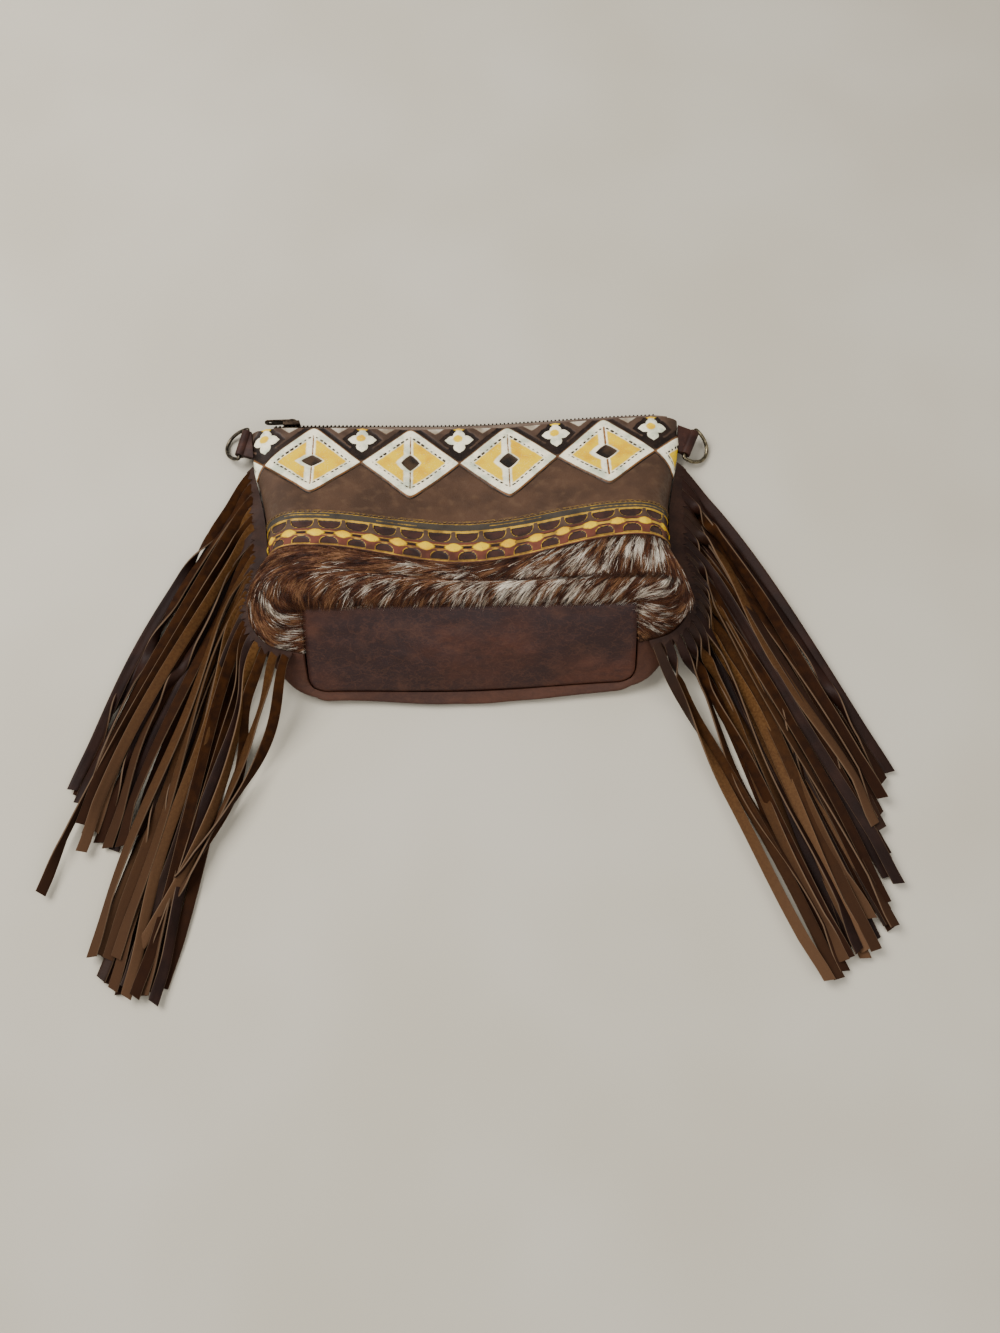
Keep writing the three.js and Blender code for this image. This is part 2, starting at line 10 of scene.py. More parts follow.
import bmesh
import bpy
import numpy as np
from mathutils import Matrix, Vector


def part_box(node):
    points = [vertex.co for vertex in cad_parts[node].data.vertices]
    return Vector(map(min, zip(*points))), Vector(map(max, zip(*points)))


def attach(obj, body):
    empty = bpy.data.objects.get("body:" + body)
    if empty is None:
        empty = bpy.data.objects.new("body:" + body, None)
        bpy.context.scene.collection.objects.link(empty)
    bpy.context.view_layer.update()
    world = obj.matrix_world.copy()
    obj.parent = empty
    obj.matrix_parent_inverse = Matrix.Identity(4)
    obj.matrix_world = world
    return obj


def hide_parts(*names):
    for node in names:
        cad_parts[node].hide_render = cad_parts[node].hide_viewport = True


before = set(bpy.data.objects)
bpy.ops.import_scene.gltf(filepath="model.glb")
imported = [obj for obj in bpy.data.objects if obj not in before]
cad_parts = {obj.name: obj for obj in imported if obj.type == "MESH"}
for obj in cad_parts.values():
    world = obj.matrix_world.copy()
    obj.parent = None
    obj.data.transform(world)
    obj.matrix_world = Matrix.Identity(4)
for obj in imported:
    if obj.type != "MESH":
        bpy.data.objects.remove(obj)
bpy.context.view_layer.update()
scene = bpy.context.scene

# %% [markdown]
# The bag was drawn in millimetres from the middle of its base seam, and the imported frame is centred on
# its footprint. The back panel is alike on both sides and ends at the zip, so its box gives the shift
# between the two, and every size below can stay in the maker's millimetres.

# %% From the bag's millimetres to the frame's metres
ZIP_EDGE_Y = 186.0
back_low, back_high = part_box("back_panel")
ORIGIN = np.array([(back_low[0] + back_high[0]) / 2, back_high[1] - ZIP_EDGE_Y / 1000, 0.0])


def in_frame(points):
    return np.asarray(points, float).reshape(-1, 3) / 1000 + ORIGIN


print("the bag's own origin is at", ORIGIN.round(5).tolist())

# %% [markdown]
# The photograph looks down at the bag from in front of its base. The camera could be fitted by eye, but
# its place follows from the picture: it looks steeply down, 18 degrees off the plumb line, and is turned
# two degrees to the right.

# %% Camera
CAMERA_PLACE = (8.95, -221.05, 741.82)  # in the bag's millimetres
CAMERA_LENS = 33.54
CAMERA_TILT, CAMERA_TURN = 18, -2  # degrees off straight down, and to the left


def put(name, data):
    """A new object in the scene that carries a mesh, a curve, a lamp or a camera."""
    holder = bpy.data.objects.new(name, data)
    scene.collection.objects.link(holder)
    return holder


camera_data = bpy.data.cameras.new("photo_view")
camera_data.lens = CAMERA_LENS
camera = put("photo_view", camera_data)
camera.location = in_frame(CAMERA_PLACE)[0]
camera.rotation_euler = (math.radians(CAMERA_TILT), 0, math.radians(CAMERA_TURN))
scene.camera = camera
print("camera", round(camera.location[2], 3), "m above the floor")

# %% [markdown]
# Materials are built from nodes. A few short helpers keep each finish readable: one adds a node and
# sets or links its inputs, and the others are the steps that most finishes share.

# %% Node helpers
def add(tree, kind, inputs=(), **settings):
    node = tree.nodes.new(kind)
    for name, value in settings.items():
        setattr(node, name, value)
    for key, value in dict(inputs).items():
        if isinstance(value, bpy.types.NodeSocket):
            tree.links.new(value, node.inputs[key])
        else:
            node.inputs[key].default_value = value
    return node


def number(tree, operation, *values):
    return add(tree, "ShaderNodeMath", dict(enumerate(values)), operation=operation).outputs[0]


def blend(tree, share, first, second):
    sockets = {0: share, 6: first, 7: second}
    return add(tree, "ShaderNodeMix", sockets, data_type="RGBA").outputs[2]


def between(tree, value, start, end, low=0.0, high=1.0):
    sockets = {0: value, 1: start, 2: end, 3: low, 4: high}
    return add(tree, "ShaderNodeMapRange", sockets, interpolation_type="SMOOTHSTEP").outputs[0]


def cloudy(tree, place, scale, detail):
    sockets = {"Vector": place, "Scale": scale, "Detail": detail}
    return add(tree, "ShaderNodeTexNoise", sockets).outputs[0]


def patchy(tree, place, scale, detail, start, end, low=0.0, high=1.0):
    """Noise with more contrast: low where it is under start, high where it is over end."""
    return between(tree, cloudy(tree, place, scale, detail), start, end, low, high)


def bump(tree, height, depth, strength):
    sockets = {"Strength": strength, "Distance": depth, "Height": height}
    return add(tree, "ShaderNodeBump", sockets).outputs[0]


def read(tree, attribute):
    return add(tree, "ShaderNodeAttribute", attribute_name=attribute).outputs["Fac"]


def tint(code):
    """A colour as painters write it, in the linear numbers that shaders use."""
    levels = [int(code[i : i + 2], 16) / 255 for i in (1, 3, 5)]
    return tuple(c / 12.92 if c <= 0.04045 else ((c + 0.055) / 1.055) ** 2.4 for c in levels) + (1.0,)


def new_material(name):
    material = bpy.data.materials.new(name)
    material.use_nodes = True
    tree = material.node_tree
    place = add(tree, "ShaderNodeTexCoord").outputs["Object"]
    print("finish:", name)
    return material, tree, tree.nodes["Principled BSDF"], place


def feed(tree, shader, **sockets):
    """Sets or links the shader's inputs, so that base_color stands for Base Color."""
    for name, value in sockets.items():
        key = name.replace("_", " ").title().replace("Ior", "IOR")
        if isinstance(value, bpy.types.NodeSocket):
            tree.links.new(value, shader.inputs[key])
        else:
            shader.inputs[key].default_value = value


# %% [markdown]
# The stage is a plain pale floor and soft studio light: one wide lamp above and to the left, as the
# shadows in the photograph ask, weaker ones from the right and the front, and an even sky.

# %% Floor and lights
FLOOR_HALF, FLOOR_DROP = 2.5, 0.0004  # metres; the drop keeps the floor just clear of the bag
corners = [(x * FLOOR_HALF, y * FLOOR_HALF, -FLOOR_DROP) for x, y in ((-1, -1), (1, -1), (1, 1), (-1, 1))]
floor_mesh = bpy.data.meshes.new("floor")
floor_mesh.from_pydata(corners, [], [(0, 1, 2, 3)])
floor = put("floor", floor_mesh)
material, tree, shader, place = new_material("pale_floor")
shade = patchy(tree, place, 6.0, 2.0, 0.3, 0.7)
feed(tree, shader, base_color=blend(tree, shade, tint("#b3aa97"), tint("#bab2a1")), roughness=0.75)
floor_mesh.materials.append(material)

LAMPS = {  # place in metres, side of the square lamp, watts
    "window": ((-0.85, 0.5, 1.35), 1.0, 42.0),
    "fill": ((0.95, -0.45, 1.3), 1.3, 11.0),
    "front": ((-0.1, -1.35, 0.9), 1.2, 7.0),
}
LIT_PLACE = np.array([0, 0, 0.02])  # where the lamps point
SKY_COLOUR, SKY_STRENGTH = (0.95, 0.97, 1.0, 1.0), 0.45
for name, (spot, side, watts) in LAMPS.items():
    lamp = bpy.data.lights.new(name, "AREA")
    lamp.size, lamp.energy = side, watts
    holder = put(name, lamp)
    holder.location = spot
    aim = LIT_PLACE - np.array(spot)
    holder.rotation_euler = (
        math.atan2(math.hypot(aim[0], aim[1]), -aim[2]), 0, math.atan2(aim[1], aim[0]) - math.pi / 2
    )
world = bpy.data.worlds.new("even_sky")
world.use_nodes = True
sky = world.node_tree.nodes["Background"]
sky.inputs["Color"].default_value = SKY_COLOUR
sky.inputs["Strength"].default_value = SKY_STRENGTH
scene.world = world
print("lamps:", list(LAMPS))

# %% [markdown]
# A sewn bag is a few sheets of leather between seams. Each sheet is described by rails: its middle, its
# crown where it turns to the side, and the side seam, each through ten heights from base to zip. The
# tables are those of the solids, so the dressed sheets lie on them, and numpy gives any point of them.

# %% The bag's rails
GAP, LEATHER, HIDE = 0.35, 1.8, 2.2  # the space between pieces, and the two walls
CROWN_AT, SEAM_GAP = 0.72, 0.5  # u of the crown, and how far a sheet stays off the seam
SPANS, FOOT_SPAN = 9, 28.0  # spans from base to zip, and the length of the one over the band's foot
BAND_FOOT = 5 / SPANS  # v where the hide ends and the tooled leather starts
BAND_GAP = GAP / (2 * FOOT_SPAN * SPANS)
SEAM = [
    (101.5, 21.5, 31.5), (122, 29, 27), (133, 42, 23), (136, 56, 20), (132, 70, 18),
    (127, 86, 16), (128, 112, 14), (131.5, 131, 12.5), (137.8, 157, 10.5), (140.3, 183, 8.5),
]
FRONT_MIDDLE = [
    (-2, 41, 55.5), (-3, 47, 60), (-5, 54, 57), (-6, 58.5, 49.5), (-3, 64, 50),
    (0, 71, 47.5), (0, 104, 36), (0, 126, 28.5), (0, 154, 20), (0, 181, 12.5),
]
FRONT_CROWN = [
    (100.5, 41, 55), (104, 48, 59.5), (107, 58, 57.5), (107, 65, 53.5), (105, 74, 53.5),
    (103, 85, 50), (104.5, 113, 40.5), (107, 132, 32), (114.5, 158, 21.5), (122.5, 185, 13.5),
]
BACK_MIDDLE = [
    (0, 1.5, 8), (0, -5, 3.2), (0, 2, 0), (0, 24, 0), (0, 46, 0),
    (0, 74, 0), (0, 107, 0), (0, 128, 0), (0, 157, 0), (0, 183, 0),
]
BACK_CROWN = [
    (100.5, 4, 8.5), (100, 0, 4.5), (99, 12, 0), (103, 34, 0), (105, 54, 0),
    (106, 78, 0), (108.5, 109, 0), (111, 129, 0), (117.5, 158, 0), (124.5, 186, 0),
]


def rail(rows):
    """A smooth line through the rows, as a function of v from 0 at the base to 1 at the zip."""
    rows = np.array(rows, float)
    ends = np.vstack([2 * rows[0] - rows[1], rows, 2 * rows[-1] - rows[-2]])

    def at(v):
        run = np.clip(np.asarray(v, float), 0, 1) * (len(rows) - 1)
        cell = np.minimum(run.astype(int), len(rows) - 2)
        w = (run - cell)[..., None]
        p0, p1, p2, p3 = (ends[cell + k] for k in range(4))
        d0, d1, d2 = (
            np.sqrt(np.linalg.norm(b - a, axis=-1, keepdims=True))
            for a, b in ((p0, p1), (p1, p2), (p2, p3))
        )
        m1 = ((p1 - p0) / d0 - (p2 - p0) / (d0 + d1) + (p2 - p1) / d1) * d1
        m2 = ((p2 - p1) / d1 - (p3 - p1) / (d1 + d2) + (p3 - p2) / d2) * d1
        bend = w**2 * (3 * (p2 - p1) - 2 * m1 - m2) + w**3 * (2 * (p1 - p2) + m1 + m2)
        return p1 + w * m1 + bend

    return at


seam_rail = rail(SEAM)
FRONT = {"middle": rail(FRONT_MIDDLE), "crown": rail(FRONT_CROWN), "up": 1, "flatness": 1}
BACK = {"middle": rail(BACK_MIDDLE), "crown": rail(BACK_CROWN), "up": -1, "flatness": 2}
print("side seams", 2 * SEAM[0][0], "mm apart at the base and", 2 * SEAM[-1][0], "mm at the zip")

# %% [markdown]
# Between the rails a section swells from the middle to the crown and then turns down to the seam. The
# outward direction comes from the sheet's own slopes; at the seam front and back share one.

# %% Points of a skin
def skin(side, u, v):
    """u runs from the left seam (-1) to the right one (1), v from the base to the zip."""
    u, v = np.broadcast_arrays(np.asarray(u, float), np.asarray(v, float))
    middle, crown = side["middle"](v), side["crown"](v)
    seam = seam_rail(v) + np.array([0, 0, side["up"] * SEAM_GAP])
    share = np.minimum(np.abs(u) / CROWN_AT, 1)
    swell = (1 - np.cos(np.pi * share)) / 2
    turn = np.pi / 2 * np.clip((np.abs(u) - CROWN_AT) / (1 - CROWN_AT), 0, 1)
    point = middle + (crown - middle) * swell[..., None]
    point[..., 1] += middle[..., 0] * np.sign(u) * share
    point += (seam - point) * (1 - np.cos(turn))[..., None]
    wide = (seam[..., 0] - crown[..., 0]) * np.sin(turn) ** side["flatness"]
    point[..., 0] = (crown[..., 0] * share + wide) * np.sign(u)
    point[..., 2] = np.maximum(point[..., 2], 0)
    return point


def unit(vectors):
    return vectors / np.linalg.norm(vectors, axis=-1, keepdims=True)


def seam_out(v):
    """The level direction out of the right side seam."""
    v = np.asarray(v, float)
    along = seam_rail(np.minimum(v + 0.01, 1)) - seam_rail(np.maximum(v - 0.01, 0))
    return unit(np.stack([along[..., 1], -along[..., 0], 0 * along[..., 0]], -1))


def outward(side, u, v, step=0.004):
    u, v = np.broadcast_arrays(np.asarray(u, float), np.asarray(v, float))
    across = skin(side, np.clip(u + step, -1, 1), v) - skin(side, np.clip(u - step, -1, 1), v)
    along = skin(side, u, np.clip(v + step, 0, 1)) - skin(side, u, np.clip(v - step, 0, 1))
    normal = unit(np.cross(across, along)) * side["up"]
    level = seam_out(v) * np.stack([np.sign(u), np.ones_like(u), np.ones_like(u)], -1)
    return np.where((np.abs(u) == 1)[..., None], level, normal)


def skin_grid(side, columns, rows, start, end):
    """Even columns from seam to seam by rows from start to end, with the outward directions."""
    fine = np.linspace(-1, 1, 2001)
    run = np.linalg.norm(np.diff(skin(side, fine, (start + end) / 2), axis=0), axis=1)
    run = np.concatenate([[0], np.cumsum(run)])
    across = np.interp(np.linspace(0, run[-1], columns + 1), run, fine)
    across[columns // 2] = 0
    u, v = np.meshgrid(across, np.linspace(start, end, rows + 1))
    return u, v, skin(side, u, v), outward(side, u, v)


def lengths(grid, axis):
    """How far each point of a grid is along its column (axis 0) or its row (axis 1)."""
    steps = np.linalg.norm(np.diff(grid, axis=axis), axis=2)
    return np.cumsum(np.pad(steps, [(1, 0), (0, 0)] if axis == 0 else [(0, 0), (1, 0)]), axis=axis)


def from_middle(grid):
    """How far each point of a grid is to the right of its middle column."""
    run = lengths(grid, 1)
    return run - run[:, run.shape[1] // 2][:, None]


middle_line = skin(FRONT, 0, np.linspace(0, 1, 91))[:, None]
print("the front is", round(float(lengths(middle_line, 0)[-1, 0])), "mm from base to zip")

# %% [markdown]
# A sheet becomes a closed wall: its outer face, a coarser inner face, and rims that join the two. Points
# and faces then become a plain mesh object, with any values that its finish reads, and settle says what
# it belongs to: the body it rides on and the solids it stands for. The last helpers make soft steps and
# soft patches of numbers.

# %% Walls and mesh pieces
INNER_VALUE = 9.0  # what an inner face reads: well outside every painted form
DRIFT_TABLE = 64  # how many soft patches there are before they repeat


def quads(grid):
    cells = np.stack([grid[:-1, :-1], grid[:-1, 1:], grid[1:, 1:], grid[1:, :-1]], -1)
    return cells.reshape(-1, 4).tolist()


def lace(first, second):
    """Triangles between two runs of vertices that need not have the same number."""
    faces, i, j = [], 0, 0
    last_i, last_j = len(first) - 1, len(second) - 1
    while i < last_i or j < last_j:
        if j == last_j or (i < last_i and (i + 1) * last_j <= (j + 1) * last_i):
            faces.append((first[i], second[j], first[i + 1]))
            i += 1
        else:
            faces.append((first[i], second[j], second[j + 1]))
            j += 1
    return faces


def wall(outer, inner):
    outside = np.arange(outer.shape[0] * outer.shape[1]).reshape(outer.shape[:2])
    inside = np.arange(inner.shape[0] * inner.shape[1]).reshape(inner.shape[:2]) + outside.size
    faces = quads(outside) + quads(inside[:, ::-1])
    for edge in (0, -1):
        faces += quads(np.stack([outside[edge], inside[edge]]))
        faces += lace(outside[:, edge].tolist(), inside[:, edge].tolist())
    return np.vstack([outer.reshape(-1, 3), inner.reshape(-1, 3)]), faces


def lining(sheet, out, thickness, count):
    """The inner face of a sheet, from some of its rows."""
    rows = np.linspace(0, len(sheet) - 1, count).astype(int)
    return sheet[rows] - out[rows] * thickness


def make_piece(name, points, faces, material, values=None, sharp=45):
    """A mesh object from millimetre points. values are numbers per point that the finish reads."""
    mesh = bpy.data.meshes.new(name)
    mesh.from_pydata(in_frame(points).tolist(), [], faces)
    shape = bmesh.new()
    shape.from_mesh(mesh)
    bmesh.ops.recalc_face_normals(shape, faces=shape.faces)
    shape.to_mesh(mesh)
    shape.free()
    for label, numbers in (values or {}).items():
        column = np.full(len(points), INNER_VALUE)
        column[: np.size(numbers)] = np.ravel(numbers)
        mesh.attributes.new(label, "FLOAT", "POINT").data.foreach_set("value", column)
    mesh.materials.append(material)
    mesh.shade_smooth()
    mesh.set_sharp_from_angle(angle=math.radians(sharp))
    print(f"{name}: {len(points)} points, {len(mesh.polygons)} faces")
    return put(name, mesh)


def settle(piece, body, slot, *nodes):
    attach(piece, body)
    if nodes:
        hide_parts(*nodes)


def ease(share):
    """From 0 to 1 with a soft start and a soft end."""
    share = np.clip(share, 0, 1)
    return share * share * (3 - 2 * share)


def smooth(distance, width):
    """1 well inside a shape, 0 well outside, from its distance (negative inside)."""
    return ease(0.5 - distance / width)


def drift(x, y, seed):
    """Soft patches of numbers from 0 to 1, one patch per unit, the same in every run."""
    table = np.random.default_rng(seed).random((DRIFT_TABLE, DRIFT_TABLE))
    i, j = np.floor(x).astype(int), np.floor(y).astype(int)
    a, b = ease(x - i), ease(y - j)
    i0, j0, i1, j1 = (k % DRIFT_TABLE for k in (i, j, i + 1, j + 1))
    low = table[i0, j0] * (1 - a) + table[i1, j0] * a
    return low * (1 - b) + (table[i0, j1] * (1 - a) + table[i1, j1] * a) * b


# %% [markdown]
# The upper front is veg-tanned leather, tooled while damp and then painted by hand. The design is
# measured on the sheet itself: s across from the middle, t down from the zip edge, and h up through the
# bead band. Each painted form is kept as a distance to its edge, in millimetres, negative inside. The
# same distances press the relief into the mesh and tell the finish where each paint goes, so colour and
# tooling can't drift apart.

# %% Tooled design: the sheet and the row of diamonds
TOOLED_COLUMNS, TOOLED_ROWS = 420, 168
u, v, sheet, out = skin_grid(FRONT, TOOLED_COLUMNS, TOOLED_ROWS, BAND_FOOT + BAND_GAP, 1)
s = from_middle(sheet)
t = lengths(sheet, 0)
t = t[-1] - t
print("tooled panel", round(float(np.ptp(s))), "mm across and", round(float(t.max())), "mm deep")

DIAMOND_PITCH, DIAMOND_ROW = 63.4, -4.1
DIAMOND_HALF, DIAMOND_HEIGHT, DIAMOND_MIDDLE = 31.7, 32.2, 30.8
BLUNT = 2.0  # how soft the tips are
SLIVER_FOOT = {"left": 6.0, "right": 13.0}  # how far the cut diamonds at the ends reach below the middle
HEARTS = ((6.6, 5.3), (5.7, 7.0), (6.0, 6.4), (6.8, 6.6))  # half width and half height, left to right
FIELD_INSET = 6.6  # from a diamond's edge to its yellow field
BARE_STRIP = (4.3, 1.7)  # bare leather down the field, to the left and the right of the middle
BARE_RING = {"left": 3.0, "right": 1.0}  # and round the heart
DASH_INSET, DASH_HALF, DASH_PITCH, DASH_REACH = 5.4, 0.34, 3.9, 0.75
SPINE_HALF, SPINE_INSET = np.array([0.45, 0.45, 0.45, 0.7]), 4.6
GROOVE_OUT, GROOVE_HALF = 0.85, 0.5  # the tooled groove under each diamond's lower edges, pressed in and painted dark as its shade


def oval(across, up, half_across, half_up, powers, steep):
    """A distance to an oval. Powers near 1 draw it as a diamond, near 2 as an ellipse, above as a box."""
    return steep * (np.abs(across / half_across) ** powers[0] + np.abs(up / half_up) ** powers[1] - 1)


diamond_s = (s - DIAMOND_ROW) % DIAMOND_PITCH - DIAMOND_PITCH / 2
diamond_t = t - DIAMOND_MIDDLE
across_edge = DIAMOND_HALF * DIAMOND_HEIGHT / math.hypot(DIAMOND_HALF, DIAMOND_HEIGHT)
blunt_s = np.sqrt(diamond_s**2 + BLUNT**2)
inset = across_edge * (1 - blunt_s / DIAMOND_HALF - np.abs(diamond_t) / DIAMOND_HEIGHT)
cut_short = np.where(s < 0, SLIVER_FOOT["left"], SLIVER_FOOT["right"]) - diamond_t
inset = np.where(np.abs(s - DIAMOND_ROW) > 2 * DIAMOND_PITCH, np.minimum(inset, cut_short), inset)
which = np.clip(np.floor((s - DIAMOND_ROW) / DIAMOND_PITCH).astype(int) + 2, 0, 3)
heart_s, heart_t = (np.array(half)[which] for half in zip(*HEARTS))
heart = oval(diamond_s, diamond_t, heart_s, heart_t, (1.15, 1.15), 4.0)
along_edge = np.abs(diamond_s) * DIAMOND_HALF - np.abs(diamond_t) * DIAMOND_HEIGHT
along_edge = along_edge / math.hypot(DIAMOND_HALF, DIAMOND_HEIGHT)
strip = np.minimum(diamond_s + BARE_STRIP[0], BARE_STRIP[1] - diamond_s)
ring = np.where(diamond_s < 0, BARE_RING["left"], BARE_RING["right"]) - heart
field = np.maximum.reduce([FIELD_INSET - inset, strip, ring])
uneven = drift(s / 4 + 20, t / 4 + 20, 8)
dashes = np.maximum(
    np.abs(inset - DASH_INSET) - DASH_HALF - 0.5 * uneven,
    np.abs(along_edge % DASH_PITCH - DASH_PITCH / 2) - DASH_REACH - 0.9 * uneven,
)
spine = np.maximum.reduce([np.abs(diamond_s) - SPINE_HALF[which], SPINE_INSET - inset, 0.6 - heart])
shaded_groove = np.maximum(np.abs(inset + GROOVE_OUT) - GROOVE_HALF, -diamond_t)

# %% [markdown]
# Between the diamonds' shoulders sit four-petalled flowers, with a bud at the zip edge over each and a
# pale wedge on both sides. Petals are circles with small points. Black paint outlines the flowers and
# the diamonds, and a dull brown fills what is left between them.

# %% Tooled design: flowers on their ground
FLOWER_MIDDLE, FLOWER_HALF, FLOWER_HIGH, PETAL, FLOWER_DISC = 9.8, 9.4, 9.2, 3.8, 5.3
OUTLINE = 3.1  # width of the black paint round the flowers and along the diamonds
BLACK_FROM = 17.5  # t below which the whole ground is black
FOOT_PETAL, STEM_HALF = 1.9, 1.9  # how much longer the lowest petal is, and the stem up to the bud
POINT_HALF, POINT_SLOPE = 2.4, 0.9  # the small point of a petal
FLOWER_HEART, BUD, BUD_FLAT = 3.1, 1.7, 0.55
WEDGE_AT, WEDGE_DEEP, WEDGE_SLOPE = 15.5, 5.4, 0.85
WEDGES_TO = 127.0  # s of the last pale wedge
flower_s = (s - DIAMOND_ROW + DIAMOND_PITCH / 2) % DIAMOND_PITCH - DIAMOND_PITCH / 2
flower_t = t - FLOWER_MIDDLE
petals = [np.hypot(flower_s, flower_t) - FLOWER_DISC]
for along_petal, across_petal, reach in (
    (np.abs(flower_s), flower_t, FLOWER_HALF),
    (np.abs(flower_t), flower_s, np.where(flower_t > 0, FLOWER_HIGH + FOOT_PETAL, FLOWER_HIGH)),
):
    petals.append(np.hypot(along_petal - reach + PETAL + 1.2, across_petal) - PETAL)
    point = 0.8 * (along_petal - reach + np.abs(across_petal) * POINT_SLOPE)
    petals.append(np.maximum(point, np.abs(across_petal) - POINT_HALF))
petals.append(np.maximum(np.abs(flower_s) - STEM_HALF, t - FLOWER_MIDDLE))
flower = np.minimum.reduce(petals)
flower_heart = np.hypot(flower_s + 0.8, flower_t + 0.9) - FLOWER_HEART
bud = np.hypot(flower_s * BUD_FLAT, t) - BUD
wedge = 0.72 * (t - WEDGE_DEEP + np.abs(np.abs(flower_s) - WEDGE_AT) * WEDGE_SLOPE)
wedge = np.where(s > WEDGES_TO, 1.0, wedge)
between_shoulders = np.maximum.reduce([inset + 0.7, t - DIAMOND_MIDDLE + 2.5, -wedge])
ground = np.minimum.reduce([-inset - OUTLINE - 0.7, flower - OUTLINE, BLACK_FROM - t])
ground = np.maximum(between_shoulders, ground)
print("white petals cover", round(float((flower < 0).mean()), 3), "of the panel")

# %% [markdown]
# The band below is a chain of oval beads between two rows of dark half-ovals, framed by gold lines. It
# follows the foot of the panel, so its height h is taken along the sheet's own rows.

# %% Tooled design: the bead band
BAND_HIGH, BEAD_PITCH, BEAD_FIRST, BEAD_LEVEL = 33.0, 17.0, -110.8, 13.0
FOOT_LINE, CHAIN_FROM, CHAIN_TO, PILLARS_TO, HEAD_LINE = 1.6, 0.4, 16.4, 24.6, 24.7  # heights h
LOWER_OVALS, UPPER_OVALS, STRIPE_LEVEL, STITCH_LEVEL, STITCH_LINE = 4.0, 23.9, 27.3, 30.7, 31.0
STITCH_PITCH = 3.1
BARS_FROM = 22  # s from which the links of the chain are single bars
h = BAND_HIGH * (v - BAND_FOOT) * SPANS
bead_s = (s - BEAD_FIRST + BEAD_PITCH / 2) % BEAD_PITCH - BEAD_PITCH / 2
oval_s = BEAD_PITCH / 2 - np.abs(bead_s)
bead_h = h - BEAD_LEVEL
bead = oval(bead_s, bead_h, 5.3, 3.1, (1.3, 1.6), 2.2)
twin_lines, bar = np.abs(np.abs(bead_h) - 1.5) - 0.36, np.abs(bead_h) - 1.0
links = np.maximum(np.where(s < BARS_FROM, twin_lines, bar), 3.6 - np.abs(bead_s))
link_shade = np.maximum(np.where(s < BARS_FROM, bar + 0.2, twin_lines - 0.05), 3.9 - np.abs(bead_s))
lower_oval = oval(oval_s, h - LOWER_OVALS, 5.7, 6.2, (2.9, 2.6), 3.6)
upper_oval = oval(oval_s, h - UPPER_OVALS, 7.1, 6.9, (2.9, 2.6), 3.8)
ovals = np.minimum(np.maximum(lower_oval, 3.2 - h), np.maximum(upper_oval, h - UPPER_OVALS))
stripe = np.abs(h - STRIPE_LEVEL) - 2.5
worn = np.abs(h - 27.6 - 0.4 * np.sin(s / 23)) - 0.35 + 1.1 * (drift(s / 21, 0 * s, 4) > 0.5)
pillars = np.maximum(CHAIN_TO - h, h - PILLARS_TO)
chain_ground = np.maximum(CHAIN_FROM - h, h - CHAIN_TO)
edging = np.minimum(np.abs(h - FOOT_LINE) - 0.5, np.abs(h - HEAD_LINE) - 0.38)
stitch_marks = np.abs(s % STITCH_PITCH - STITCH_PITCH / 2) - 0.95
stitch_marks = np.maximum(np.abs(h - STITCH_LEVEL) - 0.4, stitch_marks)
head_line = np.abs(np.abs(h - STITCH_LINE) - 1.1) - 0.22
print("beads in the chain:", round(float(np.ptp(s[0]) / BEAD_PITCH)))

# %% [markdown]
# Eleven paints take these forms. The relief lifts borders, petals and beads, sinks the grounds and the
# tool marks, and lets the whole sheet ripple a little, as soft leather does.

# %% Tooled panel: paints, relief and mesh
paints = {
    "copper": chain_ground,
    "umber": np.minimum(pillars, between_shoulders),
    "slate": stripe,
    "black": np.minimum.reduce([ground, ovals, link_shade]),
    "wine": ovals + 0.9,
    "pale": np.maximum(wedge + 0.5, inset + 2.0),
    "white": np.maximum(np.minimum(0.5 - inset, flower), 0.3 - heart),
    "yellow": np.minimum.reduce([field, flower_heart, bead, bud]),
    "gold": np.minimum.reduce([np.abs(ovals) - 0.4, links, worn, edging, head_line]),
    "rust": np.minimum(np.abs(inset) - 0.38, spine),
    # marks: dark dashes, stitch marks and the dark hearts, and painted shade in the groove under each diamond
    "marks": np.minimum.reduce([dashes, stitch_marks, shaded_groove, heart + 0.2]),
}
relief = 0.5 * smooth(-inset, 1.8) + 0.25 * smooth(3.0 - inset, 3.0) - 0.35 * smooth(5.6 - inset, 2.0)
relief += 0.6 * smooth(flower + 0.8, 2.4) - 0.45 * smooth(ground, 1.5) - 0.3 * smooth(shaded_groove, 1.2)
relief += 0.8 * smooth(bead + 0.9, 2.6) - 0.6 * smooth(ovals, 1.5) - 0.2 * smooth(stripe, 1.2)
relief += 0.3 * smooth(paints["gold"], 1.2) - 0.4 * smooth(np.minimum(paints["marks"], spine), 0.9)
relief += 0.9 * (drift(s / 34 + 9, t / 26 + 5, 11) - 0.5) + 0.35 * (drift(s / 11 + 3, t / 9, 12) - 0.5)
tooled_wall = wall(sheet + out * relief[..., None], lining(sheet, out, LEATHER, 7))
print("relief from", round(float(relief.min()), 2), "to", round(float(relief.max()), 2), "mm")

# %% [markdown]
# The finish starts with brown leather, mottled and lightly grained, and lays the paints over it one by
# one. A little noise on each distance makes the edges waver as brushed edges do, and a second shade in
# each paint, with some wear, keeps any field from being one flat colour.

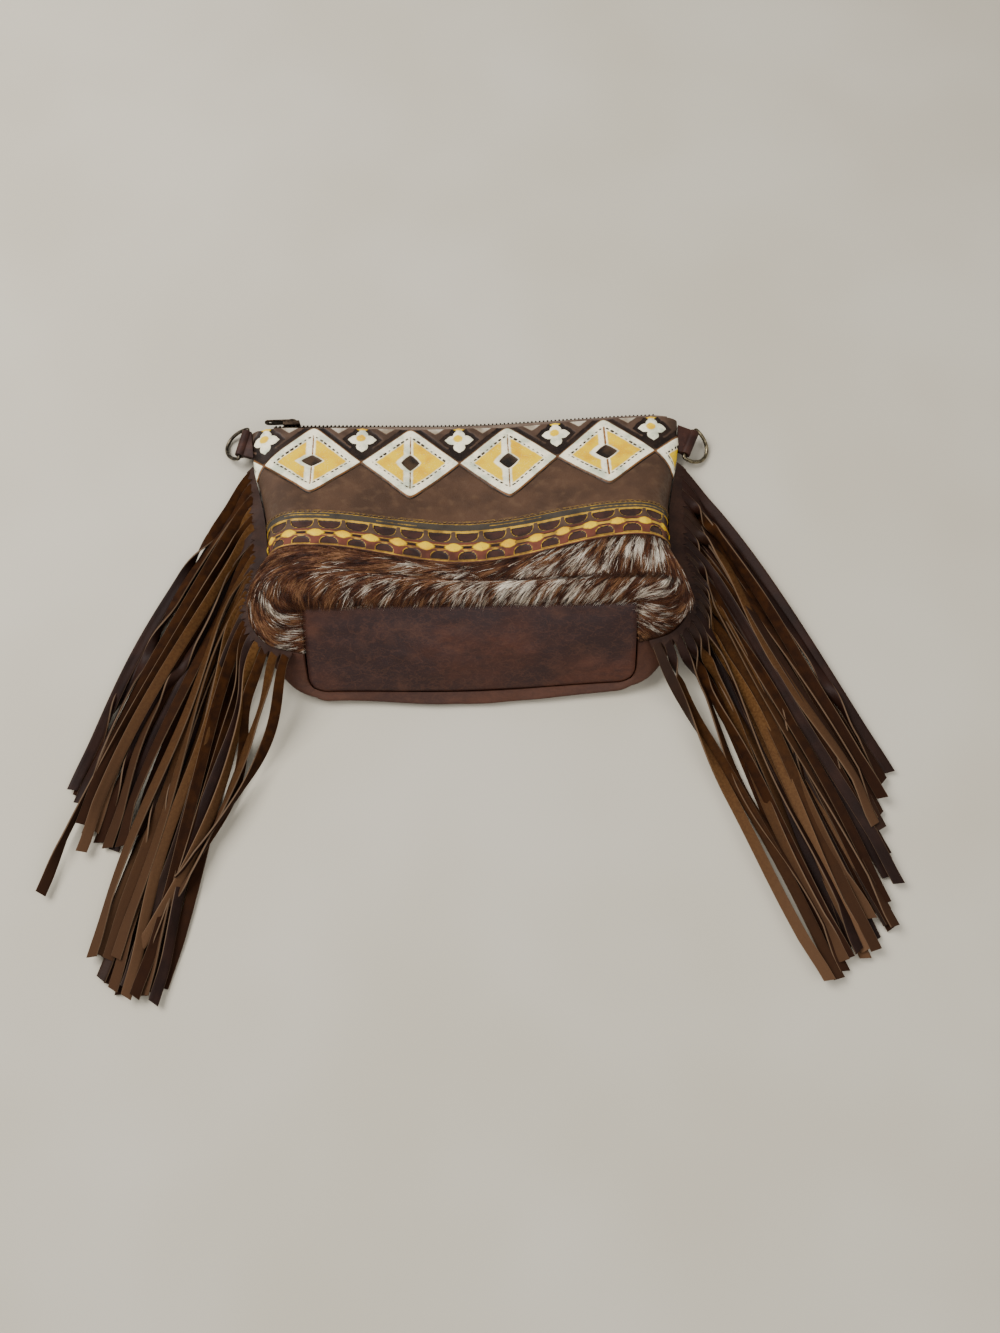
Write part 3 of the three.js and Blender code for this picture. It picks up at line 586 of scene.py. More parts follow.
# %% Tooled leather finish
PAINTS = (  # name, two shades, softness of the edge in mm, waver in mm
    ("copper", "#633425", "#45251a", 0.35, 0.6),
    ("umber", "#4c392c", "#3b2b20", 0.4, 0.8),
    ("slate", "#3b342b", "#2d2822", 0.4, 0.8),
    ("black", "#150b06", "#24170f", 0.3, 0.9),
    ("wine", "#3a231c", "#261814", 0.5, 1.2),
    ("pale", "#b0a490", "#82735f", 0.5, 0.9),
    ("white", "#f5e9c9", "#bdc0a4", 0.3, 0.6),
    ("yellow", "#e0b800", "#d09c00", 0.6, 1.2),
    ("gold", "#b48c2a", "#78591f", 0.2, 0.6),
    ("rust", "#7c5128", "#4a2f18", 0.22, 0.5),
    # the marks colour also paints the shade in the groove under each diamond
    ("marks", "#17100a", "#3a2a1b", 0.22, 0.4),
)


def grain(tree, place, pebble, depth):
    """Bump of fine leather pebbles and soft creases."""
    cells = add(tree, "ShaderNodeTexVoronoi", {"Vector": place, "Scale": pebble}, feature="F1")
    height = number(tree, "MULTIPLY", cells.outputs["Distance"], 0.6)
    height = number(tree, "ADD", height, cloudy(tree, place, pebble / 6, 5.0))
    return bump(tree, height, depth, 0.35)


tooled_leather, tree, shader, place = new_material("tooled_painted_leather")
brushed = cloudy(tree, place, 420.0, 4.0)
colour = blend(tree, patchy(tree, place, 38.0, 4.0, 0.35, 0.65), tint("#3b291d"), tint("#4a3425"))
colour = blend(tree, patchy(tree, place, 150.0, 5.0, 0.5, 0.75, 0.0, 0.5), colour, tint("#57412e"))
for name, main, second, soft, waver in PAINTS:
    uneven = number(tree, "MULTIPLY", number(tree, "SUBTRACT", brushed, 0.5), waver)
    edge = number(tree, "ADD", read(tree, name), uneven)
    cover = between(tree, edge, soft, -soft)
    cover = number(tree, "MULTIPLY", cover, patchy(tree, place, 900.0, 2.0, 0.28, 0.42, 0.72, 1.0))
    shades = patchy(tree, place, 95.0, 3.0, 0.4, 0.68)
    colour = blend(tree, cover, colour, blend(tree, shades, tint(main), tint(second)))
rough = between(tree, brushed, 0.3, 0.7, 0.42, 0.6)
feed(tree, shader, base_color=colour, roughness=rough, specular_ior_level=0.2)
feed(tree, shader, normal=grain(tree, place, 1100.0, 0.0003))
tooled_front = make_piece("tooled_front", *tooled_wall, tooled_leather, values=paints)
settle(tooled_front, "bag", "tooled_leather", "front_tooled_panel")

# %% [markdown]
# Leather that isn't painted shares one recipe: patches of two shades, a paler rub where it is handled,
# fine pale creases and a fine grain. The creases lie where a noise crosses its middle value, which draws
# a net of thin lines. The base is pull-up leather, whose wax shifts when it bends, so its patches are
# strong and run from reddish to a cool purple grey.

# %% Plain leather finishes
CREASE_NETS = (6.0, 17.0)  # how much finer the two nets of creases are than the patches
CREASE_HALF = 0.035  # half the width of a crease, in the noise's own numbers


def leather(name, dark, middle, rub, patch, rough, wear=0.5, shine=0.15, creases=0.0):
    """Three shades, how many patches there are to a metre, and how rough, rubbed and creased it is."""
    material, tree, shader, place = new_material(name)
    stretched = add(tree, "ShaderNodeMapping", {"Vector": place, "Scale": (1.0, 1.6, 1.6)}).outputs[0]
    shades = patchy(tree, stretched, patch, 4.0, 0.36, 0.64)
    colour = blend(tree, shades, tint(dark), tint(middle))
    fine = patchy(tree, stretched, patch * 11.0, 6.0, 0.42, 0.7, 0.0, 0.5)
    colour = blend(tree, fine, colour, tint(dark))
    rubbed = patchy(tree, place, patch * 4.3, 5.0, 0.5, 0.8, 0.0, wear)
    colour = blend(tree, rubbed, colour, tint(rub))
    for finer in CREASE_NETS:
        crease = number(tree, "SUBTRACT", cloudy(tree, stretched, patch * finer, 7.0), 0.5)
        crease = between(tree, number(tree, "ABSOLUTE", crease), 0.0, CREASE_HALF, creases, 0.0)
        colour = blend(tree, crease, colour, tint(rub))
    gloss = patchy(tree, place, patch * 2.0, 3.0, 0.3, 0.7, rough - 0.07, rough + 0.1)
    feed(tree, shader, base_color=colour, roughness=gloss, specular_ior_level=shine)
    feed(tree, shader, normal=grain(tree, place, 1000.0, 0.00035))
    return material


base_finish = leather(
    "pull_up_base_leather", "#2b1a18", "#46261a", "#593829", 15.0, 0.42, wear=0.4, shine=0.22, creases=0.22
)
back_finish = leather(
    "smooth_back_leather", "#36211a", "#472b1f", "#543728", 30.0, 0.5, wear=0.5, shine=0.2, creases=0.2
)
header_finish = leather("fringe_header_leather", "#22130d", "#301d14", "#3c291b", 40.0, 0.6, wear=0.4)
tab_finish = leather("folded_tab_leather", "#281611", "#361f17", "#45291f", 60.0, 0.55)

# %% [markdown]
# The base is a plain rectangle that faces the viewer. Its edges roll into the seams, which is what
# draws the dark line round it, and it bellies out softly between them. Its two lower corners are soft,
# so one small helper draws in every point near them, here and on the back that meets it there.

# %% Base panel
BASE_COLUMNS, BASE_ROWS = 150, 56
BASE_INSET, BASE_BELLY, EDGE_ROLL, ROLL_DEPTH = 0.5, 2.0, 2.6, 0.8
BASE_WIDTH = 199  # from side to side, for the distance to an edge
CORNER, FOOT = np.array([100.2, 4.0, 8.6]), np.array([100.0, 0.0, 4.5])  # of the base, and the back below
CORNER_REACH, CORNER_DRAWN, DRAWN_TO = 12.0, 4.4, np.array([-0.71, 0.44, 0.55])


def soft_corners(points):
    """The points, drawn in towards the middle of the base near its two lower corners."""
    side = np.where(points[..., :1] < 0, -1.0, 1.0)
    mirror = np.concatenate([side, np.ones_like(points[..., 1:])], axis=-1)
    reach, drop = points * mirror - CORNER, FOOT - CORNER
    reach = reach - np.clip(reach @ drop / (drop @ drop), 0, 1)[..., None] * drop
    near = np.clip(1 - np.linalg.norm(reach, axis=-1) / CORNER_REACH, 0, 1)
    return points + CORNER_DRAWN * (near**2)[..., None] * DRAWN_TO * mirror


a, b = np.meshgrid(np.linspace(0, 1, BASE_COLUMNS + 1), np.linspace(0, 1, BASE_ROWS + 1))
base_u = CROWN_AT * (1 - BASE_INSET / FRONT_CROWN[0][0]) * (2 * a - 1)
rear, lip = skin(BACK, base_u, 0 * b), skin(FRONT, base_u, 0 * b)
depth = np.linalg.norm(lip - rear, axis=2)
rise = unit(lip - rear)
base_out = np.cross(np.array([1.0, 0, 0]), rise)
up_base = BASE_INSET + (depth - 2 * BASE_INSET) * b
base_sheet = rear + rise * up_base[..., None]
to_edge = np.minimum.reduce([a * BASE_WIDTH, (1 - a) * BASE_WIDTH, b * depth, (1 - b) * depth])
belly = BASE_BELLY * np.sin(np.pi * a) * np.sin(np.pi * b)
rolled = ROLL_DEPTH * (1 - np.clip(to_edge / EDGE_ROLL, 0, 1)) ** 2
dents = 1.1 * (drift(a * 7, b * 3 + 2, 21) - 0.5) + 0.4 * (drift(a * 21, b * 9, 22) - 0.5)
dents *= np.clip(to_edge / 12, 0, 1)
outer = base_sheet + base_out * (belly - rolled + dents)[..., None]
rows = np.linspace(0, BASE_ROWS, 5).astype(int)
inner = (base_sheet + base_out * (belly - LEATHER)[..., None])[rows]
base_panel = make_piece("base_leather_panel", *wall(soft_corners(outer), soft_corners(inner)), base_finish)
settle(base_panel, "bag", "base_leather", "base_panel")

# %% [markdown]
# The back lies flat on the floor and turns up to the base seam and the side seams, so little of it is
# seen. It keeps a few long dents along its turned edge, where the bag's weight creases it.

# %% Back panel
BACK_COLUMNS, BACK_ROWS = 220, 90
BACK_DENT, DENT_FROM = 0.7, 4  # how deep the dents are, and the height at which they are full
u, v, sheet, out = skin_grid(BACK, BACK_COLUMNS, BACK_ROWS, 0, 1)
run = lengths(sheet, 1)
lifted = np.clip(sheet[..., 2] / DENT_FROM, 0, 1)
dents = BACK_DENT * (drift(run / 17, v * 11, 31) - 0.5) * lifted
outer = sheet + out * dents[..., None]
outer[..., 2] = np.maximum(outer[..., 2], 0)
inner = lining(sheet, out, LEATHER, 19)
back_panel = make_piece("back_leather_panel", *wall(soft_corners(outer), soft_corners(inner)), back_finish)
settle(back_panel, "bag", "back_leather", "back_panel")

# %% [markdown]
# The lower front is hair-on-hide: a skin with its short hair left on. The skin itself is a wall like
# the others, in the dark colour that shows between the hairs.

# %% Hide skin
HIDE_COLUMNS, HIDE_ROWS = 260, 78
u, v, sheet, out = skin_grid(FRONT, HIDE_COLUMNS, HIDE_ROWS, 0, BAND_FOOT - BAND_GAP)
hide_s, hide_t = from_middle(sheet), lengths(sheet, 0)
outer = sheet + out * (0.5 * (drift(hide_s / 6, hide_t / 5, 41) - 0.5))[..., None]
hide_finish = leather("hide_under_hair", "#241208", "#3a2012", "#4c2d1b", 90.0, 0.7)
hide_skin = make_piece("hide_skin", *wall(outer, lining(sheet, out, HIDE, 14)), hide_finish)
settle(hide_skin, "bag", "hair_on_hide", "front_hide_panel")

# %% [markdown]
# Hair has a lie: it sweeps to the left over most of the panel, swirls down round the left corner and
# curls round the right one. A short table of places and angles describes the combing, and another says
# where the coat is white. Both are spread smoothly over a fine grid on the skin.

# %% How the coat lies and where it is white
COMBING = (  # s, v, angle from straight down, positive to the left, in degrees
    (-135, 0.48, 78), (-140, 0.30, 58), (-138, 0.10, -25), (-108, 0.05, -30), (-108, 0.28, 50),
    (-70, 0.48, 86), (-70, 0.28, 76), (-70, 0.08, 40), (0, 0.48, 84), (0, 0.28, 66),
    (0, 0.08, 26), (55, 0.48, 60), (55, 0.10, 24), (105, 0.48, 34), (105, 0.25, 36),
    (105, 0.06, 34), (140, 0.45, -18), (145, 0.25, 5), (135, 0.08, 62),
)
WHITENESS = (  # s, v, share of white hair
    (-143, 0.06, 0.24), (-126, 0.04, 0.12), (-135, 0.25, 0.02), (-112, 0.25, 0.01), (-118, 0.5, 0.03),
    (-96, 0.45, 0.01), (-98, 0.1, 0.01), (-67, 0.12, 0.24), (-84, 0.12, 0.01), (-60, 0.45, 0.01),
    (-52, 0.12, 0.05), (-36, 0.15, 0.1), (-16, 0.45, 0.06), (-22, 0.1, 0.1), (-4, 0.1, 0.28),
    (4, 0.45, 0.05), (16, 0.1, 0.5), (25, 0.1, 0.24), (38, 0.1, 0.66), (38, 0.45, 0.12),
    (50, 0.1, 0.38), (58, 0.1, 0.58), (63, 0.48, 0.28), (72, 0.1, 0.5), (84, 0.48, 0.32),
    (88, 0.06, 0.42), (84, 0.26, 0.06), (104, 0.5, 0.38), (98, 0.28, 0.06), (112, 0.3, 0.16),
    (110, 0.05, 0.26), (130, 0.32, 0.12), (134, 0.06, 0.25), (150, 0.2, 0.1),
)
COMB_REACH, WHITE_REACH = (32, 0.14), (11, 0.1)  # how far each row is felt, in s and in v
COAT_COLUMNS, COAT_ROWS = 900, 240
u, v, sheet, out = skin_grid(FRONT, COAT_COLUMNS, COAT_ROWS, 0, BAND_FOOT - BAND_GAP)
coat_s, coat_t = from_middle(sheet), lengths(sheet, 0)


def spread(table, values, reach_s, reach_v):
    """The values of a table's rows, spread over the grid by how near each row is."""
    total, weights = 0, 1e-9
    for (at_s, at_v, *_), value in zip(table, values):
        weight = np.exp(-(((coat_s - at_s) / reach_s) ** 2) - ((v - at_v) / reach_v) ** 2)
        total, weights = total + weight * value, weights + weight
    return total / weights


angles = [math.radians(row[2]) for row in COMBING]
combed = np.arctan2(
    spread(COMBING, np.sin(angles), *COMB_REACH), spread(COMBING, np.cos(angles), *COMB_REACH)
)
combed += 0.3 * (drift(coat_s / 13 + 7, coat_t / 13, 42) - 0.5)
whiteness = spread(WHITENESS, [row[2] for row in WHITENESS], *WHITE_REACH)
print("combed from", *np.degrees([combed.min(), combed.max()]).round().astype(int), "degrees")

# %% [markdown]
# Colour in a coat runs in locks, so it can't be plain noise. Random numbers are drawn out along the
# combing: every point takes the mean of the numbers up and down its own line of hair. The same locks
# gather the hairs a little, and hair is shorter where the skin ends.

# %% Locks
LOCK_STEP = 0.6  # mm from number to number along a hair
TRIM_FOOT, TRIM_SIDE, TRIM_HEAD = (2.8, 12), (5, 12), (9, 14)  # mm: a start, and full length over how far
step_s, step_t = np.gradient(coat_s, axis=1), np.gradient(coat_t, axis=0)


def drawn_out(seed, width, length):
    """Random numbers drawn out along the combing, with mean 0 and spread 1."""
    loose = drift(coat_s / width + 80, coat_t / width, seed)
    total = loose.copy()
    for way in (-1, 1):
        i, j = np.indices(loose.shape).astype(float)
        for _ in range(int(length / LOCK_STEP / 2)):
            row, column = np.rint(i).astype(int), np.rint(j).astype(int)
            near = np.clip(row, 0, COAT_ROWS), np.clip(column, 0, COAT_COLUMNS)
            i = i + way * LOCK_STEP * np.cos(combed[near]) / step_t[near]
            j = j + way * LOCK_STEP * np.sin(combed[near]) / step_s[near]
            total += loose[near]
    return (total - total.mean()) / total.std()


locks = 0.55 * drawn_out(43, 1.3, 13) + 0.85 * drawn_out(44, 0.65, 11)
tone = np.clip(0.5 + 0.34 * (0.7 * drawn_out(45, 2.0, 12) + 0.7 * drawn_out(46, 1.0, 9)), 0, 1)
level = 4.9 * (whiteness**0.14 - (1 - whiteness) ** 0.14)
fleck = np.clip(0.5 + 0.9 * (level - locks), 0, 1)
to_foot, to_head = coat_t, coat_t[-1] - coat_t
to_side = np.minimum(coat_s - coat_s[:, :1], coat_s[:, -1:] - coat_s)
edges = ((to_foot, TRIM_FOOT), (to_side, TRIM_SIDE), (to_head, TRIM_HEAD))
grown_length = np.minimum.reduce([np.clip((far + start) / over, 0, 1) for far, (start, over) in edges])
print("white hair on", round(float((fleck > 0.5).mean()), 3), "of the coat")

# %% [markdown]
# The hairs are grown by Geometry Nodes: points scattered on the skin, each with one thin tapered spike
# that leaves the skin at a low angle, follows the combing and bends down to it. Spikes are closed
# three-sided cones, so the finished mesh has no loose sheets. Three coats with their own seeds keep
# each piece small.

# %% Geometry Nodes helpers
def node_tree(name, inputs):
    """A tree with named inputs, and the identifiers by which a modifier sets them."""
    tree = bpy.data.node_groups.new(name, "GeometryNodeTree")
    tree.interface.new_socket("Geometry", in_out="INPUT", socket_type="NodeSocketGeometry")
    keys = {
        label: tree.interface.new_socket(label, in_out="INPUT", socket_type=f"NodeSocket{kind}").identifier
        for label, kind in inputs.items()
    }
    tree.interface.new_socket("Geometry", in_out="OUTPUT", socket_type="NodeSocketGeometry")
    return tree, keys, add(tree, "NodeGroupInput").outputs


def close_tree(tree, geometry, material):
    whole = add(tree, "GeometryNodeRealizeInstances", {0: geometry}).outputs[0]
    dressed = add(tree, "GeometryNodeSetMaterial", {"Geometry": whole, "Material": material}).outputs[0]
    add(tree, "NodeGroupOutput", {0: dressed})
    print(f"{tree.name}: a tree of {len(tree.nodes)} nodes")


def named(tree, name, kind):
    return add(tree, "GeometryNodeInputNamedAttribute", {"Name": name}, data_type=kind).outputs[0]


def keep(tree, geometry, name, value):
    """The geometry, with a number per point under a name that its finish can read."""
    sockets = {"Geometry": geometry, "Name": name, "Value": value}
    return add(tree, "GeometryNodeStoreNamedAttribute", sockets, data_type="FLOAT", domain="POINT").outputs[0]


def pick(tree, low, high, seed):
    """A number for each point, by chance."""
    return add(tree, "FunctionNodeRandomValue", {2: low, 3: high, "Seed": seed}, data_type="FLOAT").outputs[1]


def scaled(tree, vector, factor):
    return add(tree, "ShaderNodeVectorMath", {0: vector, "Scale": factor}, operation="SCALE").outputs[0]


def summed(tree, first, second):
    return add(tree, "ShaderNodeVectorMath", {0: first, 1: second}, operation="ADD").outputs[0]


def faced(tree, first, second, axes):
    """A turn that points one axis along the first direction, and another towards the second."""
    settings = {"primary_axis": axes[0], "secondary_axis": axes[1]}
    return add(tree, "FunctionNodeAxesToRotation", {0: first, 1: second}, **settings).outputs[0]


def grow(name, source, tree, keys, settings):
    """Runs the tree on source and returns its result as a plain mesh object."""
    modifier = source.modifiers.new(name, "NODES")
    modifier.node_group = tree
    for label, value in settings.items():
        modifier[keys[label]] = value
    mesh = bpy.data.meshes.new_from_object(source.evaluated_get(bpy.context.evaluated_depsgraph_get()))
    source.modifiers.remove(modifier)
    mesh.name = name
    mesh.shade_smooth()
    print(f"{name}: {len(mesh.vertices)} points, {len(mesh.polygons)} faces")
    return put(name, mesh)


def clear_away(*helpers):
    for helper in helpers:
        bpy.data.objects.remove(helper, do_unlink=True)


# %% [markdown]
# The tree for the coat reads the lie of the hair and its trimmed length from the skin under each point.
# One bent spike stands for every hair, and each copy is turned, sized and shaded a little differently.

# %% Hair tree
HAIR_SIZES, SIZE_SEED = (0.7, 1.15), 3  # the shortest and the longest share of a hair's length
hair_tree, hair_keys, given = node_tree(
    "grow_hair",
    {"Density": "Float", "Seed": "Int", "Length": "Float", "Thickness": "Float", "Lift": "Float",
     "Stray": "Float", "Bend": "Float", "Finish": "Material"},
)
trim = named(hair_tree, "trim", "FLOAT")
roots = add(
    hair_tree, "GeometryNodeDistributePointsOnFaces",
    {"Mesh": given["Geometry"], "Density": given["Density"], "Seed": given["Seed"]},
)
lie = named(hair_tree, "lie", "FLOAT_VECTOR")
stray = add(
    hair_tree, "FunctionNodeRandomValue", {0: (-1, -1, -1), 1: (1, 1, 1), "Seed": given["Seed"]},
    data_type="FLOAT_VECTOR",
).outputs[0]
raised = scaled(hair_tree, roots.outputs["Normal"], given["Lift"])
heading = summed(hair_tree, summed(hair_tree, lie, raised), scaled(hair_tree, stray, given["Stray"]))
turned = faced(hair_tree, heading, roots.outputs["Normal"], "ZX")
spike = add(
    hair_tree, "GeometryNodeMeshCone",
    {"Vertices": 3, "Side Segments": 2, "Radius Top": 0.0,
     "Radius Bottom": given["Thickness"], "Depth": given["Length"]},
)
position = add(hair_tree, "GeometryNodeInputPosition").outputs[0]
height = add(hair_tree, "ShaderNodeSeparateXYZ", {0: position}).outputs["Z"]
share = number(hair_tree, "DIVIDE", height, given["Length"])
fallen = number(hair_tree, "MULTIPLY", number(hair_tree, "MULTIPLY", share, share), given["Bend"])
offset = add(hair_tree, "ShaderNodeCombineXYZ", {"X": number(hair_tree, "MULTIPLY", fallen, -1.0)}).outputs[0]
marked = keep(hair_tree, spike.outputs["Mesh"], "along", share)
bent = add(hair_tree, "GeometryNodeSetPosition", {"Geometry": marked, "Offset": offset}).outputs[0]
shade = pick(hair_tree, 0.0, 1.0, given["Seed"])
shaded = keep(hair_tree, roots.outputs["Points"], "shade", shade)
size = number(hair_tree, "MULTIPLY", pick(hair_tree, *HAIR_SIZES, SIZE_SEED), trim)
grown = add(
    hair_tree, "GeometryNodeInstanceOnPoints",
    {"Points": shaded, "Instance": bent, "Rotation": turned, "Scale": size},
).outputs[0]
close_tree(hair_tree, grown, given["Finish"])

# %% [markdown]
# Each hair is a little lighter toward its tip, its darker root being painted shade, and takes white or
# one of several browns from the lock that it stands in and from its own chance number.

# %% Hair finish
hair_finish, tree, shader, place = new_material("red_brown_and_white_hair")
along, shade, white, lock = (read(tree, name) for name in ("along", "shade", "fleck", "tone"))
own = number(tree, "ADD", number(tree, "MULTIPLY", shade, 0.45), number(tree, "MULTIPLY", lock, 0.75))
brown = blend(tree, between(tree, own, 0.15, 0.65), tint("#271007"), tint("#5c321a"))
brown = blend(tree, between(tree, own, 0.62, 1.1), brown, tint("#9d704a"))
pale = blend(tree, between(tree, own, 0.1, 0.9), tint("#b9a58c"), tint("#f6ead6"))
chance = number(tree, "ADD", white, number(tree, "MULTIPLY", number(tree, "SUBTRACT", shade, 0.5), 0.3))
colour = blend(tree, between(tree, chance, 0.46, 0.66), brown, pale)
# painted shade: every hair darkens toward its root, where the coat shades itself
root = between(tree, along, 0.0, 0.7, 0.35, 1.0)
colour = blend(tree, root, tint("#1f1009"), colour)
rough = between(tree, shade, 0.0, 1.0, 0.4, 0.58)
feed(tree, shader, base_color=colour, roughness=rough, specular_ior_level=0.3)

# %% [markdown]
# The coat grows from a fine copy of the skin, the scalp, that only carries the numbers and is cleared
# away afterwards. A short coat hides the skin, and longer hairs lie over it.

# %% Grow the coat
COATS = {  # density per square metre, seed, length, half thickness, lift, stray, bend, in metres
    "hide_undercoat": (1.0e6, 5, 0.0085, 0.00028, 0.11, 0.06, 0.0012),
    "hide_coat": (1.0e6, 6, 0.0115, 0.00025, 0.12, 0.04, 0.0018),
    "hide_guard_hair": (0.6e6, 7, 0.0130, 0.00022, 0.15, 0.06, 0.0024),
}
GATHER = 0.08  # how far hairs lean to the middle of their lock
down, right = unit(np.gradient(sheet, axis=0)) * -1, unit(np.gradient(sheet, axis=1))
lies = down * np.cos(combed)[..., None] - right * np.sin(combed)[..., None]
lies += GATHER * right * (np.gradient(locks, axis=1) / step_s)[..., None]
lies = unit(lies - GATHER * down * (np.gradient(locks, axis=0) / step_t)[..., None])
scalp_mesh = bpy.data.meshes.new("scalp")
cells = quads(np.arange(sheet[..., 0].size).reshape(sheet.shape[:2]))
scalp_mesh.from_pydata(in_frame(sheet).tolist(), [], cells)
for label, numbers in {"fleck": fleck, "tone": tone, "trim": grown_length}.items():
    scalp_mesh.attributes.new(label, "FLOAT", "POINT").data.foreach_set("value", numbers.ravel())
scalp_mesh.attributes.new("lie", "FLOAT_VECTOR", "POINT").data.foreach_set("vector", lies.ravel())
scalp = put("scalp", scalp_mesh)
LABELS = ("Density", "Seed", "Length", "Thickness", "Lift", "Stray", "Bend")
for name, numbers in COATS.items():
    coat = grow(name, scalp, hair_tree, hair_keys, dict(zip(LABELS, numbers)) | {"Finish": hair_finish})
    settle(coat, "bag", "hair_on_hide")
clear_away(scalp)

# %% [markdown]
# A fringe is one strip of leather, sewn into the side seam and cut into strips from its outer edge. The
# uncut part is the header. It slopes down from the seam, and a notch between each two strips shows
# where the knife stopped.

# %% Fringe headers
SIDE_SIGN = {"left": -1.0, "right": 1.0}
HEADER = rail([(w, 0, 0) for w in (8, 9, 9.5, 10, 13, 17, 18, 14, 6.5, 3)])
HEADER_TOP, HEADER_END = {"left": 0.915, "right": 0.885}, 0.02
UNCUT = {"left": 0.62, "right": 0.5}  # share of the header that the knife left whole
HEADER_SCALE = {"left": 1.0, "right": 1.4}
HEADER_LIFT, HEADER_SLOPE = 1.2, 0.38
HEADER_ROOT, HEADER_THINNED = 1.25, 0.68  # half thickness at the seam, and how much of it goes outwards
FIRST_STRIP, LAST_STRIP = 0.02, 0.012  # from the header's ends to the strips, in v
STRIPS, NOTCH_STEPS, NOTCH_DEPTH, NOTCH_HALF = 24, 8, 4.0, 1.9  # the last counts steps


def header_width(name, v):
    return HEADER(v)[..., 0] * HEADER_SCALE[name] * UNCUT[name]


def header_point(name, v, reach, lift):
    mirror = np.array([SIDE_SIGN[name], 1, 1])
    point = (seam_rail(v) + seam_out(v) * (2 * GAP + reach)[..., None]) * mirror
    point[..., 2] += HEADER_LIFT + lift - HEADER_SLOPE * reach
    return point


def strip_root(name, index):
    """v of a strip's root, from the top strip down to the base. Halfway between two strips is a cut."""
    top, end = HEADER_TOP[name] - FIRST_STRIP, HEADER_END + LAST_STRIP
    return top + (end - top) * (index + 0.5) / STRIPS


steps = np.arange(-NOTCH_STEPS // 2, STRIPS * NOTCH_STEPS - NOTCH_STEPS // 2 + 1) / NOTCH_STEPS
past_cut = (steps + 0.5) % 1
to_cut = np.minimum(past_cut, 1 - past_cut)
cut = np.clip(1 - to_cut * NOTCH_STEPS / NOTCH_HALF, 0, 1)
for name in SIDE_SIGN:
    v = np.clip(strip_root(name, steps), HEADER_END, HEADER_TOP[name])
    reach = header_width(name, v) + 0.8 - NOTCH_DEPTH * cut
    b, vv = np.meshgrid(np.linspace(0, 1, 9), v)
    reaches = reach[:, None] * b
    curl = 0.7 * (drift(steps[:, None] / 1.7 + 0 * b, b * 2, 51) - 0.5) * b
    half = HEADER_ROOT - HEADER_THINNED * b
    points, faces = wall(
        header_point(name, vv, reaches, half + curl), header_point(name, vv, reaches, curl - half)
    )
    header = make_piece(f"fringe_header_{name}", points, faces, header_finish)
    settle(header, "bag", "fringe_leather", f"fringe_{name}")

# %% [markdown]
# The strips follow the routes of the solids: out of the header, down to the floor and along it to the
# tip, four to a lock. Each route is one cubic curve with four knots, so a tip, a step and a bow are all
# that a lock needs. Shorter strips with routes between these lie under them and fill the gaps.

# %% Routes of the strips
LOCK_STRIPS = 4
LOCKS = {  # tip of a lock's first strip, step from tip to tip, sideways bow
    "left": (
        (-247, -55, 5, -9, -12), (-257, -112, 11, -2, -11), (-227, -156, 5, 0, -6),
        (-221, -168, 8, -3, 0), (-205, -172, 5, -2, 4), (-199, -152, 7, 14, 21),
    ),
    "right": (
        (254, -60, -4, -8, 7), (243, -95, 1.5, -10, 6), (239, -136, 1.5, -6, 4),
        (242, -153, -6, -5, 2), (226, -166, -5, -2, 0), (215, -170, -4, -4, -2),
    ),
}
STRIP_BEDDED = 3.0  # how far a strip starts inside the header
STRIP_STEPS = 76
LEAVES, HEADS, BOWS_AT = 9, 18, 0.4  # mm straight out, mm towards the tip, and the bow's place from the tip


def strip_route(name, index, shorter):
    """Places along one strip's middle, where it starts, and how long it is."""
    v = np.array(strip_root(name, index))
    root = header_point(name, v, header_width(name, v) - STRIP_BEDDED, 0.0)
    leave = seam_out(v)[:2] * np.array([SIDE_SIGN[name], 1])
    tip_x, tip_y, step_x, step_y, bow = LOCKS[name][int(index) // LOCK_STRIPS]
    place = index % LOCK_STRIPS
    tip = np.array([tip_x + place * step_x, tip_y + place * step_y])
    way = unit(tip - root[:2])
    tip = tip - shorter * way
    length = np.linalg.norm(tip - root[:2])
    knots = (
        root[:2],
        root[:2] + leave * (STRIP_BEDDED + LEAVES) + way * HEADS,
        tip - BOWS_AT * length * way + bow * np.array([-way[1], way[0]]),
        tip,
    )
    a = np.linspace(0, 1, STRIP_STEPS + 1)[:, None]
    route = sum(c * k * a**i * (1 - a) ** (3 - i) for i, (c, k) in enumerate(zip((1, 3, 3, 1), knots)))
    return root, route, length


for name in LOCKS:
    longest = max(strip_route(name, index, 0)[2] for index in range(STRIPS))
    print(name, "fringe: strips up to", round(float(longest)), "mm from the header to the tip")

# %% [markdown]
# Real strips turn over and lean like feathers. Most get a half turn that brings the napped side up: on
# the left under the header's edge, on the right a little way down. A few keep their dark grain side up,
# and the two outer ones on the left start with the nap up and then turn back to the grain.

# %% How a strip turns
GRAIN_UP = {"left": (0, 1, 6, 9, 12, 16, 19), "right": (0, 1, 4, 7, 9, 12, 17)}
TURN_OVER = (12, 45)  # mm: where the half turn starts on the right, and over what length
LATE_TURN = 45  # mm: the length of a half turn near the tip
TURN_BACK = (62, 55, 50)  # mm: where the two outer left strips turn back, over what, and how far apart
LAST_TURN = {"left": (45, 50, 0.4), "right": (28, 105, 1.0)}  # of the strip at the base, in half turns


